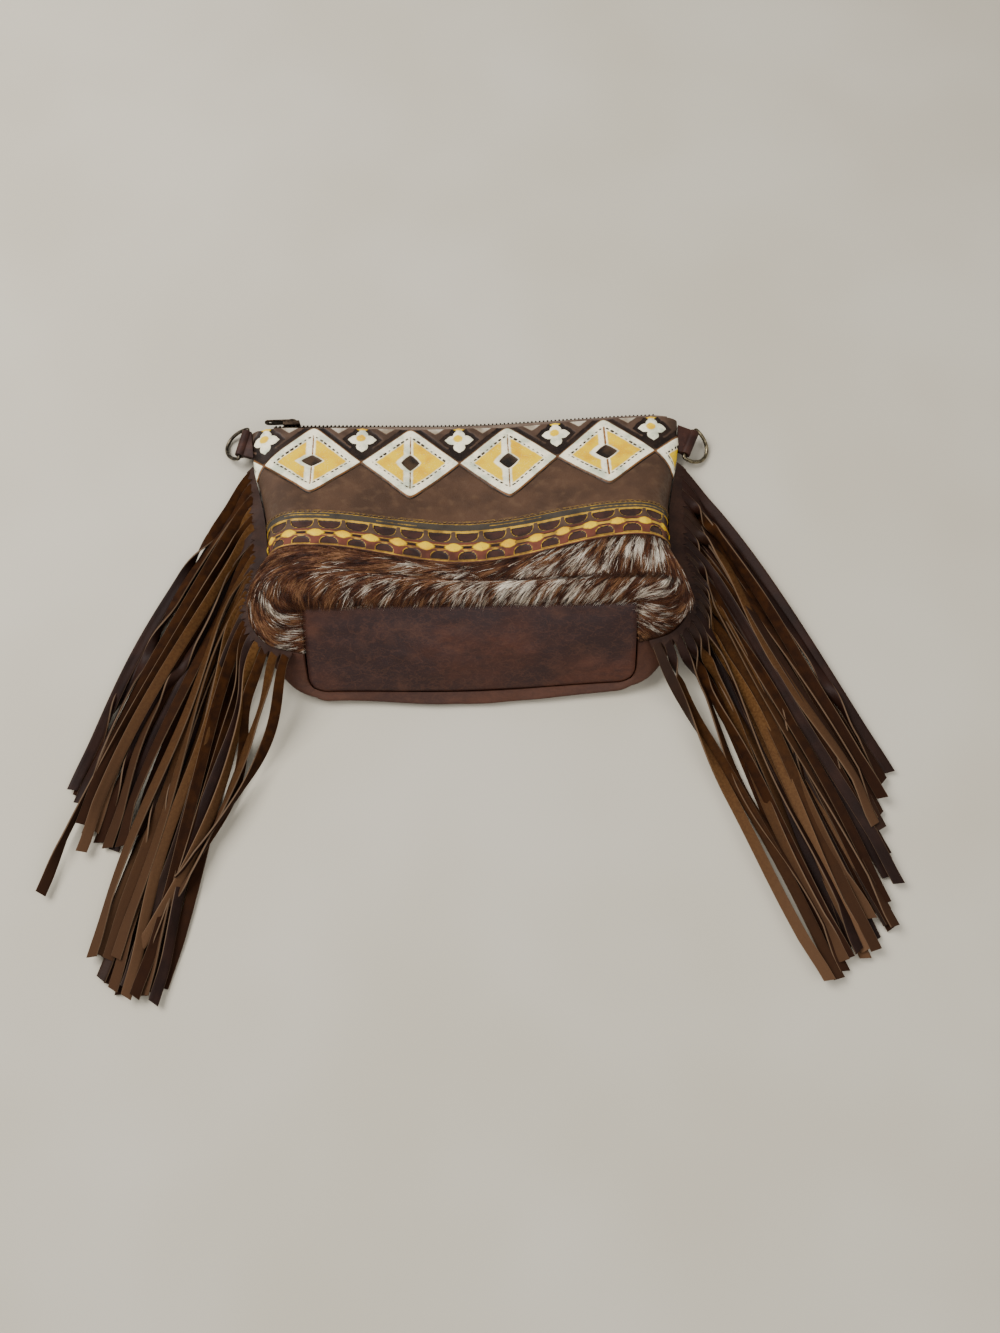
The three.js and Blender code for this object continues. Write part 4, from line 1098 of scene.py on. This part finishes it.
def strip_twist(name, index, under, chance, a, run, loose):
    """The angle of a strip along its length: 0 has the grain side up, and half a turn the nap."""
    calm = under or index < 1
    lean = chance.uniform(0.3, 0.5 if calm else 1.45) * (1 if chance.random() < 0.6 else -1)
    twist = lean * (0.72 + 0.28 * np.sin(a * chance.uniform(4, 10))) * loose
    if index == STRIPS - 1:
        start, over, half_turns = LAST_TURN[name]
        twist = 0.3 * twist + (0 if name == "right" else np.pi)
        twist = twist + half_turns * np.pi * ease((run - start) / over)
    elif (chance.random() < 0.5) if under else index not in GRAIN_UP[name]:
        start, over = TURN_OVER
        half_turn = ease((run - start * chance.uniform(0.7, 1.6)) / over)
        twist = twist + np.pi * (half_turn if name == "right" and not under else 1)
    elif chance.random() < 0.3:
        twist = twist + np.pi * ease((a - chance.uniform(0.45, 0.8)) * run[-1] / LATE_TURN)
    if name == "left" and index in (0, 1):
        start, over, apart = TURN_BACK
        twist = twist + np.pi * (1 - ease((run - start - apart * index) / over))
    return twist * SIDE_SIGN[name]


# %% [markdown]
# A strip is a flat ring of points, carried along its route and turned by its twist. It also waves to the
# sides, rises and sinks a little and is cupped across, and it lies in one of three layers on the floor.
# Its cut edges are thinner, and marks for the side, the edge and the strip tell the finish what to paint.

# %% One strip
STRIP_WIDTH, STRIP_WALL, EDGE_WALL = 6.5, 1.2, 0.62  # the last is a share of the wall
STRIP_LAYERS, LAYER_RISE, FLOOR_GAP = 3, 1.7, 0.2
UNDER_DROP = 1.4  # how far the hidden strips start below the header
ACROSS = np.array([-0.5, -0.44, -0.2, 0.2, 0.44, 0.5])
FULL_ROUND = 6.3  # radians, for a wave that may start anywhere
TRIMMED = {  # mm by which a strip is cut shorter, below zero where it is longer
    "left": {4: -8, 4.5: 28, 5: 22, 5.5: 22, 6: 30, 6.5: 30, 7: 27, 7.5: 27, 18: 12},
    "right": {5: 14, 13: 10},
}


def wave(chance, a, slowest, fastest):
    return np.sin(a * chance.uniform(slowest, fastest) + chance.uniform(0, FULL_ROUND))


def strip_mesh(name, index, chance, under):
    """The points of one strip, ring by ring. Every number that chance gives is drawn in a fixed order."""
    shorter = chance.uniform(0, 16 if under else 7) + TRIMMED[name].get(index, 0)
    root, place, length = strip_route(name, index, shorter)
    a = np.linspace(0, 1, STRIP_STEPS + 1)
    run = a * length
    layer = 0 if under else 1 + index % STRIP_LAYERS
    ahead = unit(np.gradient(place, axis=0))
    aside = np.stack([-ahead[:, 1], ahead[:, 0]], -1)
    loose = ease(run / 60) * np.clip((1.02 - a) * 8, 0.4, 1)
    swing = chance.uniform(1.0, 1.6 if under or index < 3 else 4.2)
    place = place + aside * (swing * wave(chance, a, 4, 11) * loose)[:, None]
    twist = strip_twist(name, index, under, chance, a, run, loose)
    lying = FLOOR_GAP + STRIP_WALL / 2 + LAYER_RISE * layer
    aloft = ease(1 - run / (14 + 0.9 * root[2] if under else 30 + 1.8 * root[2]))
    width = STRIP_WIDTH * (0.8 + 0.2 * ease(run / 40))
    leaving = root[2] + (-UNDER_DROP if under else 0.3 * (layer - 2))
    z = lying + (leaving - lying) * aloft
    z = z + 0.42 * width * np.abs(np.sin(twist)) * (1 - aloft)
    z = z + 0.6 * (1 + wave(chance, a, 8, 20)) * loose
    cup = chance.uniform(-0.7, 0.7) * wave(chance, a, 2, 6) * loose
    slant = chance.uniform(-2.5, 2.5)
    rings = []
    for side in (1, -1):
        for w in ACROSS if side > 0 else ACROSS[::-1]:
            wall_share = EDGE_WALL if abs(w) == 0.5 else 1.0
            lift = cup * (4 * w * w - 0.35) + side * STRIP_WALL / 2 * wall_share
            go = aside * (width * w * np.cos(twist) - lift * np.sin(twist))[:, None]
            level = place + go + ahead * (slant * w * (a > 0.999))[:, None]
            rise = z + width * w * np.sin(twist) + lift * np.cos(twist)
            rings.append(np.column_stack([level, np.maximum(rise, 0.05)]))
    return np.stack(rings, 1)


def ring_faces(steps, count):
    grid = np.arange((steps + 1) * count).reshape(steps + 1, count)
    around = np.concatenate([grid, grid[:, :1]], 1)
    return quads(around) + [grid[0, ::-1].tolist(), grid[-1].tolist()]


# %% [markdown]
# Each fringe is one mesh, drawn from one fixed seed: first the hidden strips, then those that show, so
# that the same chance numbers always fall to the same strip. The hidden strips are painted dark, as shade.

# %% Both fringes
RING = 2 * len(ACROSS)
# the hidden strips are held dark: painted shade, for the shadow they lie in under the strips that show
UNDER_STRIPS, SHADED_UNDER_BRIGHT = STRIPS - 4, 0.2
FRINGE_SEED = {"left": 61, "right": 62}
BRIGHT = {"left": 0.8, "right": 1.0}  # how pale the palest strip may be
edge_marks = np.tile(np.abs(np.concatenate([ACROSS, ACROSS[::-1]])) > 0.47, STRIP_STEPS + 1)
side_marks = np.tile(np.repeat([0.0, 1.0], len(ACROSS)), STRIP_STEPS + 1)
order = [(k + 0.5, True) for k in range(UNDER_STRIPS)] + [(k, False) for k in range(STRIPS)]
fringes = {}
for name, seed in FRINGE_SEED.items():
    chance = np.random.default_rng(seed)
    points, faces, marks = [], [], {"suede": [], "edge": [], "strip": [], "along": []}
    for index, under in order:
        mesh_points = strip_mesh(name, index, chance, under).reshape(-1, 3)
        start = len(points) * len(mesh_points)
        faces += [[start + k for k in face] for face in ring_faces(STRIP_STEPS, RING)]
        points.append(mesh_points)
        marks["suede"].append(side_marks)
        marks["edge"].append(edge_marks)
        marks["along"].append(np.repeat(np.linspace(0, 1, STRIP_STEPS + 1), RING))
        # hidden strips take a low strip mark: painted shade
        bright = SHADED_UNDER_BRIGHT if under else BRIGHT[name]
        marks["strip"].append(np.full(len(mesh_points), chance.random() * bright))
    fringes[name] = (np.vstack(points), faces, {key: np.concatenate(rows) for key, rows in marks.items()})
print("strips in each fringe:", len(order))

# %% [markdown]
# Suede scatters light from its nap and shows streaks where it has been stroked; the grain side is
# smoother and darker. One finish holds both and mixes them by the side that a face belongs to.

# %% Fringe finish
strip_finish, tree, shader, place = new_material("cut_strip_leather")
suede, edge, each, along = (read(tree, label) for label in ("suede", "edge", "strip", "along"))
napped = blend(tree, patchy(tree, place, 160.0, 5.0, 0.32, 0.68), tint("#1e0c02"), tint("#301804"))
stroked = blend(tree, patchy(tree, place, 700.0, 5.0, 0.3, 0.7), tint("#462b10"), tint("#5b3e1f"))
dulled = between(tree, along, 0.25, 1.0, 0.0, 0.85)
napped = blend(tree, dulled, napped, tint("#24130a"))
stroked = blend(tree, dulled, stroked, tint("#5c4330"))
# the strip mark is each strip's own tone, held low on the hidden strips as painted shade
napped = blend(tree, between(tree, each, 0.25, 1.0, 0.0, 0.9), napped, stroked)
smooth_side = blend(tree, patchy(tree, place, 60.0, 4.0, 0.35, 0.7), tint("#190b06"), tint("#26140d"))
smooth_side = blend(tree, between(tree, each, 0.3, 1.0, 0.0, 0.5), smooth_side, tint("#302115"))
colour = blend(tree, between(tree, suede, 0.35, 0.65), smooth_side, napped)
colour = blend(tree, between(tree, edge, 0.3, 1.0, 0.0, 0.6), colour, tint("#6b5642"))
fuzz = cloudy(tree, place, 1500.0, 4.0)
rough = between(tree, suede, 0.3, 0.7, 0.52, 0.95)
feed(tree, shader, base_color=colour, roughness=rough, specular_ior_level=0.1)
feed(tree, shader, normal=bump(tree, fuzz, 0.0003, 0.5))
for name, (points, faces, marks) in fringes.items():
    strips = make_piece(f"fringe_strips_{name}", points, faces, strip_finish, values=marks, sharp=60)
    settle(strips, "bag", "fringe_leather")

# %% [markdown]
# The mouth is closed by a zip. Its tape bulges out between the two leather edges, and its weave is a
# fine twill, drawn by two crossed waves along and across the tape.

# %% Zip tape
TAPE_WALL, TAPE_TUCK, TAPE_BULGE, ZIP_HALF = 0.9, 5.0, 2.0, 130.0
TAPE_END = 4  # how much further the tape goes on the right
LIPS = (3.2, 1.2)  # how far the lower and the upper lip stand out past the teeth
LIPS_FROM, LIPS_OVER = -92, 40  # x where they start, past the slider, and over what length
LIPS_LEAST, LIPS_FULL_AT = 0.6, 100  # the least share of them, and x where they are full


def mouth(x):
    """The inner faces of front and back at the mouth, with the tape's clearance."""
    edges = []
    for side in (FRONT, BACK):
        crown_x, seam_x = side["crown"](1.0)[0], seam_rail(1.0)[0]
        turn = np.clip((np.abs(x) - crown_x) / (seam_x - crown_x), 0, 1) ** (1 / side["flatness"])
        bent = CROWN_AT + (1 - CROWN_AT) * np.arcsin(turn) / (np.pi / 2)
        share = np.where(np.abs(x) <= crown_x, CROWN_AT * np.abs(x) / crown_x, bent)
        at_zip = np.ones_like(x)
        edges.append(skin(side, share, at_zip) - outward(side, share, at_zip) * (LEATHER + 1.5 * GAP))
    return edges


def tape_point(x, b, depth):
    x, b = np.broadcast_arrays(np.asarray(x, float), np.asarray(b, float))
    top, bottom = mouth(x)
    turn = np.pi * (b - 0.5)
    half = (top[..., 2] - bottom[..., 2]) / 2 - depth
    reach = (TAPE_TUCK + TAPE_BULGE - depth) * np.sqrt(np.maximum(np.cos(turn), 0))
    y = np.maximum(top[..., 1], bottom[..., 1]) - TAPE_TUCK + reach
    past_slider = np.clip((x - LIPS_FROM) / LIPS_OVER, 0, 1)
    past_slider = past_slider * (LIPS_LEAST + (1 - LIPS_LEAST) * np.clip(x / LIPS_FULL_AT, 0, 1))
    y = y + past_slider * np.sin(2 * np.pi * b) ** 2 * np.where(b < 0.5, *LIPS)
    return np.stack([x, y, (top[..., 2] + bottom[..., 2]) / 2 + half * np.sin(turn)], -1)


def threads(tree, place, scale, waver, axis):
    sockets = {"Vector": place, "Scale": scale, "Distortion": waver, "Detail": 1.0}
    return add(tree, "ShaderNodeTexWave", sockets, wave_type="BANDS", bands_direction=axis).outputs["Fac"]


tape_finish, tree, shader, place = new_material("woven_zip_tape")
weave = number(
    tree, "MULTIPLY", threads(tree, place, 420.0, 0.6, "X"), threads(tree, place, 300.0, 0.4, "Z")
)
colour = blend(tree, weave, tint("#4a382d"), tint("#75604f"))
colour = blend(tree, patchy(tree, place, 70.0, 3.0, 0.4, 0.8, 0.0, 0.5), colour, tint("#8b7764"))
feed(tree, shader, base_color=colour, roughness=0.85, normal=bump(tree, weave, 0.0003, 0.6))
b, x = np.meshgrid(np.linspace(0, 1, 33), np.linspace(-ZIP_HALF, ZIP_HALF + TAPE_END, 181))
zip_tape = make_piece("zip_tape", *wall(tape_point(x, b, 0.0), tape_point(x, b, TAPE_WALL)), tape_finish)
settle(zip_tape, "bag", "zip_tape", "zipper_tape")

# %% [markdown]
# The teeth are small rounded blocks, set in turn on the two tapes. One tooth is modelled, and Geometry
# Nodes repeat it along the middle of the tape, every second one shifted across.

# %% Metal, blocks and lines
CHAIN_WIDTH, CHAIN_HEIGHT, CHAIN_END = 4.6, 2.2, 3.6  # the last from the end of the tape to the first tooth
TOOTH_PITCH, TOOTH_HIGH = 1.3, 1.3
TOOTH_LONG, TOOTH_WIDE, TOOTH_BEVEL, TOOTH_SHIFT = 0.00118, 0.0026, 0.00025, 0.00082  # metres


def metal(name, dark, bright, rough):
    material, tree, shader, place = new_material(name)
    colour = blend(tree, patchy(tree, place, 380.0, 4.0, 0.35, 0.65), tint(dark), tint(bright))
    gloss = patchy(tree, place, 900.0, 3.0, 0.3, 0.7, rough - 0.08, rough + 0.14)
    feed(tree, shader, base_color=colour, roughness=gloss, metallic=1.0)
    return material


def rounded_block(name, size, bevel):
    shape = bmesh.new()
    bmesh.ops.create_cube(shape, size=1.0)
    bmesh.ops.scale(shape, vec=size, verts=shape.verts)
    bmesh.ops.bevel(shape, geom=shape.edges[:], offset=bevel, segments=1, affect="EDGES")
    mesh = bpy.data.meshes.new(name)
    shape.to_mesh(mesh)
    shape.free()
    return put(name, mesh)


def line_object(name, points):
    mesh = bpy.data.meshes.new(name)
    mesh.from_pydata(in_frame(points).tolist(), [(k, k + 1) for k in range(len(points) - 1)], [])
    return put(name, mesh)


# %% [markdown]
# Teeth and stitches are both rows along a line, so one tree serves both. It sets points at an even pitch,
# shifts every second one, and puts a copy of one block on each, turned with the line where that is asked.

# %% Row tree
row_tree, row_keys, given = node_tree(
    "row_along_line",
    {"Unit": "Object", "Pitch": "Float", "Stagger": "Vector", "Follow": "Bool", "Finish": "Material"},
)
curve = add(row_tree, "GeometryNodeMeshToCurve", {0: given["Geometry"]}).outputs[0]
places = add(row_tree, "GeometryNodeCurveToPoints", {"Curve": curve, "Length": given["Pitch"]}, mode="LENGTH")
odd = number(row_tree, "MODULO", add(row_tree, "GeometryNodeInputIndex").outputs[0], 2.0)
to_side = number(row_tree, "SUBTRACT", number(row_tree, "MULTIPLY", odd, 2.0), 1.0)
offset = scaled(row_tree, given["Stagger"], to_side)
moved = add(row_tree, "GeometryNodeSetPosition", {"Geometry": places.outputs[0], "Offset": offset}).outputs[0]
single = add(row_tree, "GeometryNodeObjectInfo", {"Object": given["Unit"]}).outputs["Geometry"]
turned = faced(row_tree, places.outputs["Tangent"], places.outputs["Normal"], "XZ")
still = add(row_tree, "FunctionNodeEulerToRotation").outputs[0]
facing = add(
    row_tree, "GeometryNodeSwitch",
    {0: given["Follow"], "False": still, "True": turned}, input_type="ROTATION",
).outputs[0]
rowed = add(
    row_tree, "GeometryNodeInstanceOnPoints", {"Points": moved, "Instance": single, "Rotation": facing}
).outputs[0]
close_tree(row_tree, rowed, given["Finish"])


def row_along(name, points, single, pitch, stagger, follow, finish):
    """Copies of a single block along a line, as one mesh. The block and the line are cleared away."""
    line = line_object(f"{name}_line", points)
    settings = {"Unit": single, "Pitch": pitch, "Stagger": stagger, "Follow": follow, "Finish": finish}
    row = grow(name, line, row_tree, row_keys, settings)
    clear_away(line, single)
    return row


# %% Zip teeth
zip_metal = metal("dark_antique_zip_metal", "#1f1813", "#382d23", 0.52)
chain_x = np.linspace(-ZIP_HALF + CHAIN_END, ZIP_HALF - CHAIN_END, 160)
chain_line = tape_point(chain_x, 0.5, 0.0) + np.array([0, GAP + TOOTH_HIGH / 2, 0])
tooth = rounded_block("tooth", (TOOTH_LONG, TOOTH_HIGH / 1000, TOOTH_WIDE), TOOTH_BEVEL)
shift = (0, 0, TOOTH_SHIFT)
zip_teeth = row_along("zip_teeth", chain_line, tooth, TOOTH_PITCH / 1000, shift, False, zip_metal)
zip_teeth.data.set_sharp_from_angle(angle=math.radians(30))
settle(zip_teeth, "bag", "zip_metal", "zipper_chain")

# %% [markdown]
# Flat metal and folded leather are easiest to draw as outlines. A flat curve with a small bevel fills
# the outline, rounds its edges and cuts its holes; the result is made a mesh and put in its place.

# %% Outlines into plates
MERGE = 0.004  # mm within which the points of a bevel are one


def plate(loops, thickness, bevel):
    """Points and faces of a plate with this outline, its holes and rounded edges, level at z 0."""
    curve = bpy.data.curves.new("outline", "CURVE")
    curve.dimensions, curve.fill_mode = "2D", "BOTH"
    curve.extrude, curve.bevel_depth = thickness / 2 - bevel, bevel
    curve.bevel_resolution, curve.offset = 2, -bevel
    for loop in loops:
        spline = curve.splines.new("POLY")
        spline.points.add(len(loop) - 1)
        flat = [(x, y, 0.0, 1.0) for x, y in loop]
        spline.points.foreach_set("co", np.array(flat).ravel())
        spline.use_cyclic_u = True
    holder = put("outline", curve)
    mesh = bpy.data.meshes.new_from_object(holder.evaluated_get(bpy.context.evaluated_depsgraph_get()))
    shape = bmesh.new()
    shape.from_mesh(mesh)
    bmesh.ops.remove_doubles(shape, verts=shape.verts, dist=MERGE)
    points = np.array([vert.co for vert in shape.verts])
    shape.verts.index_update()
    faces = [[vert.index for vert in face.verts] for face in shape.faces]
    shape.free()
    clear_away(holder)
    bpy.data.meshes.remove(mesh)
    return points, faces


def arc(x, y, radius_x, radius_y, start, end, steps):
    """Points on an ellipse, from one angle to another in degrees."""
    turns = np.radians(np.linspace(start, end, steps + 1))
    return [(x + radius_x * math.cos(turn), y + radius_y * math.sin(turn)) for turn in turns]


# %% [markdown]
# The slider is a channel that straddles the teeth, with an arched bridge on top. The pull hangs on the
# bridge by its end bar and swings there, so it rides on its own body.

# %% Slider and pull
SLIDER_X, SLIDER_LENGTH, SLIDER_PLATE, SLIDER_LIFT = -115.0, 11.0, 1.2, 0.35
FLANGE, FLANGE_SHORT = 1, 0.4  # its thickness, and how far it stays above the tape
BRIDGE_HALF, BRIDGE_RISE, BRIDGE_WIRE, BRIDGE_DEPTH, BRIDGE_SUNK = 4.0, 3.0, 1.15, 1.6, 0.5
PULL_LENGTH, PULL_WIDTH, PULL_PLATE, PULL_WINDOW, PULL_BAR = 18.0, 6.0, 1.0, 4.1, 1.0
PULL_PLAY, PULL_EYE, EYE_SHIFT = 0.45, 1.1, 0.6
seat = tape_point(SLIDER_X, 0.5, 0.0)
plate_y = seat[1] + GAP + SLIDER_LIFT + CHAIN_HEIGHT + GAP
pivot_y = plate_y + SLIDER_PLATE + (BRIDGE_RISE - BRIDGE_WIRE) / 2
flange = CHAIN_WIDTH / 2 + GAP
drop = CHAIN_HEIGHT - FLANGE_SHORT
right_half = [(flange, 0), (flange, -drop), (flange + FLANGE, -drop), (flange + FLANGE, SLIDER_PLATE)]
channel = [(-x, y) for x, y in reversed(right_half[:3])] + right_half + [(-flange - FLANGE, SLIDER_PLATE)]
points, faces = plate([channel], SLIDER_LENGTH, bevel=0.28)
body_points = points[:, [2, 1, 0]] + [SLIDER_X, plate_y, seat[2]]
arch = arc(0, 0, BRIDGE_HALF, BRIDGE_RISE, 0, 180, 20)
arch += [(-BRIDGE_HALF, -BRIDGE_SUNK), (BRIDGE_WIRE - BRIDGE_HALF, -BRIDGE_SUNK)]
arch += arc(0, 0, BRIDGE_HALF - BRIDGE_WIRE, BRIDGE_RISE - BRIDGE_WIRE, 180, 0, 20)
arch += [(BRIDGE_HALF - BRIDGE_WIRE, -BRIDGE_SUNK), (BRIDGE_HALF, -BRIDGE_SUNK)]
bridge_points, bridge_faces = plate([arch], BRIDGE_DEPTH, bevel=0.3)
bridge_points = bridge_points + [SLIDER_X, plate_y + SLIDER_PLATE, seat[2]]
all_faces = faces + [[k + len(points) for k in face] for face in bridge_faces]
slider = make_piece("zip_slider", np.vstack([body_points, bridge_points]), all_faces, zip_metal, sharp=35)
settle(slider, "bag", "zip_metal", "zipper_slider")

half = PULL_WIDTH / 2
outline = [(PULL_BAR / 2, -half), (PULL_BAR / 2, half)]
outline += arc(half - PULL_LENGTH, 0, half, half, 90, 270, 24)
gap = BRIDGE_DEPTH / 2 + PULL_PLAY
window = [(-PULL_BAR / 2, -gap), (-PULL_BAR / 2 - PULL_WINDOW, -gap)]
window += [(-PULL_BAR / 2 - PULL_WINDOW, gap), (-PULL_BAR / 2, gap)]
eye = arc(half - PULL_LENGTH + EYE_SHIFT, 0, PULL_EYE, PULL_EYE, 0, 345, 23)
points, faces = plate([outline, window, eye], PULL_PLATE, bevel=0.22)
pull = make_piece("zip_pull", points[:, [0, 2, 1]] + [SLIDER_X, pivot_y, seat[2]], faces, zip_metal, sharp=35)
settle(pull, "zipper_pull", "zip_metal", "zipper_pull")

# %% [markdown]
# A tab is a short strip folded round the ring's straight bar and sewn into the side seam. Its outline is
# drawn from the side: two layers, a fine line between them, and the eye that holds the bar.

# %% Tabs
WIRE, RING_BAR, RING_REACH = 2.4, 22.4, 14.8
TAB_WIDTH, TAB_LAYER, TAB_Z = 18.0, 1.7, 9.4
TAB_LENGTH, TAB_Y = {"left": 6.4, "right": 8.6}, {"left": 175.0, "right": 170.5}
TAB_TURN = {"left": math.radians(-15), "right": math.radians(-25)}
TAB_SLIT, SLIT_HALF, TAB_SKEW = 0.8, 0.1, 2.5  # where the line between the layers starts, and the root ends
RING_REST_Z = WIRE / 2 + 0.3


def at_corner(name, points):
    """From a drawing that reaches out along +x to its place at the top corner of that side."""
    side = SIDE_SIGN[name]
    v = 1 - (SEAM[-1][1] - TAB_Y[name]) / (SEAM[-1][1] - SEAM[-2][1]) / (len(SEAM) - 1)
    x, y, z = points.T
    turn = TAB_TURN[name]
    out, up = x * math.cos(turn) - y * math.sin(turn), x * math.sin(turn) + y * math.cos(turn)
    corner = [side * (seam_rail(v)[0] + GAP), TAB_Y[name], TAB_Z]
    return np.column_stack([side * out, side * up, z]) + corner


def meet_seam(name, points):
    """Skews the root of a turned tab, so that it meets the seam along its whole width."""
    lean = math.atan2(SEAM[-1][0] - SEAM[-2][0], SEAM[-1][1] - SEAM[-2][1])
    share = np.clip(1 - points[:, 0] / TAB_SKEW, 0, 1)
    skewed = points.copy()
    skewed[:, 0] += share * points[:, 1] * math.tan(TAB_TURN[name] + SIDE_SIGN[name] * lean)
    return skewed


eye = WIRE / 2 + GAP
bulb = eye + TAB_LAYER
lean = math.degrees(math.asin(TAB_LAYER / bulb))
for name, reach in TAB_LENGTH.items():
    fold = [(0, -TAB_LAYER), *arc(reach, 0, bulb, bulb, 180 + lean, 540 - lean, 36), (0, TAB_LAYER)]
    slit = [(TAB_SLIT, SLIT_HALF), (TAB_SLIT, -SLIT_HALF), *arc(reach, 0, eye, eye, 184, 536, 30)]
    points, faces = plate([fold, slit], TAB_WIDTH, bevel=0.35)
    points = meet_seam(name, points[:, [0, 2, 1]])
    tab = make_piece(f"tab_{name}", at_corner(name, points), faces, tab_finish, sharp=40)
    settle(tab, "bag", "tab_leather", f"ring_tab_{name}")

# %% [markdown]
# The D-rings are bent from round wire. A closed path, straight along the bar and bowed in front, has its
# corners eased, and a round section is swept along it. The left ring is painted darker, as shade.

# %% D-rings
RING_STEPS, WIRE_SIDES = 128, 16
ring_finish = {
    # the same metal on both rings, with the left one painted darker as shade
    "left": metal("shaded_left_ring_metal", "#2f2a24", "#5d5446", 0.34),
    "right": metal("antique_brass_ring", "#544b3a", "#857a60", 0.28),
}
bar = [(0, y) for y in np.linspace(-RING_BAR / 2, RING_BAR / 2, 60, endpoint=False)]
path = np.array(bar + arc(0, 0, RING_REACH, RING_BAR / 2, 90, -90, 90)[:-1])
run = np.concatenate([[0], np.cumsum(np.linalg.norm(np.diff(path, axis=0, append=path[:1]), axis=1))])
even = np.linspace(0, run[-1], RING_STEPS, endpoint=False)
path = np.stack([np.interp(even, run, np.append(path[:, k], path[0, k])) for k in (0, 1)], -1)
for _ in range(4):
    path = (np.roll(path, 1, 0) + 2 * path + np.roll(path, -1, 0)) / 4
ahead = unit(np.roll(path, -1, 0) - np.roll(path, 1, 0))
turns = np.linspace(0, 2 * np.pi, WIRE_SIDES, endpoint=False)
aside = np.stack([ahead[:, 1], -ahead[:, 0]], -1)
sweep = path[:, None] + aside[:, None] * (WIRE / 2 * np.cos(turns))[None, :, None]
rise = np.broadcast_to(WIRE / 2 * np.sin(turns), sweep.shape[:2])
wire = np.concatenate([sweep, rise[..., None]], -1)
grid = np.arange(RING_STEPS * WIRE_SIDES).reshape(RING_STEPS, WIRE_SIDES)
ring_quads = quads(np.pad(grid, ((0, 1), (0, 1)), mode="wrap"))
tilt = math.asin((TAB_Z - RING_REST_Z) / RING_REACH)
x, y, z = wire.reshape(-1, 3).T
out, up = x * math.cos(tilt) + z * math.sin(tilt), z * math.cos(tilt) - x * math.sin(tilt)
for name, reach in TAB_LENGTH.items():
    tipped = np.column_stack([out + reach, y, up])
    d_ring = make_piece(f"ring_{name}", at_corner(name, tipped), ring_quads, ring_finish[name])
    settle(d_ring, f"d_ring_{name}", "ring_metal", f"d_ring_{name}")

# %% [markdown]
# The head of the bead band is edged by a row of gold stitches. The same row tree repeats one short
# thread along the line, turned to follow it.

# %% Gold stitches over the band
STITCH_V, STITCH_LIFT, STITCHES_TO = BAND_FOOT + STITCH_LINE / (SPANS * BAND_HIGH), 0.35, 0.985
STITCH_SIZE, STITCH_BEVEL = (0.0017, 0.00036, 0.00034), 0.0001  # metres
stitch_u = np.linspace(-STITCHES_TO, STITCHES_TO, 240)
stitch_line = skin(FRONT, stitch_u, STITCH_V) + outward(FRONT, stitch_u, STITCH_V) * STITCH_LIFT
thread_finish, tree, shader, place = new_material("gold_thread")
colour = blend(tree, patchy(tree, place, 700.0, 3.0, 0.35, 0.65), tint("#4f3a1b"), tint("#86682c"))
feed(tree, shader, base_color=colour, roughness=0.6)
stitch = rounded_block("stitch", STITCH_SIZE, STITCH_BEVEL)
pitch = STITCH_PITCH / 1000
gold_stitches = row_along("gold_stitches", stitch_line, stitch, pitch, (0, 0, 0), True, thread_finish)
settle(gold_stitches, "bag", "tooled_leather")
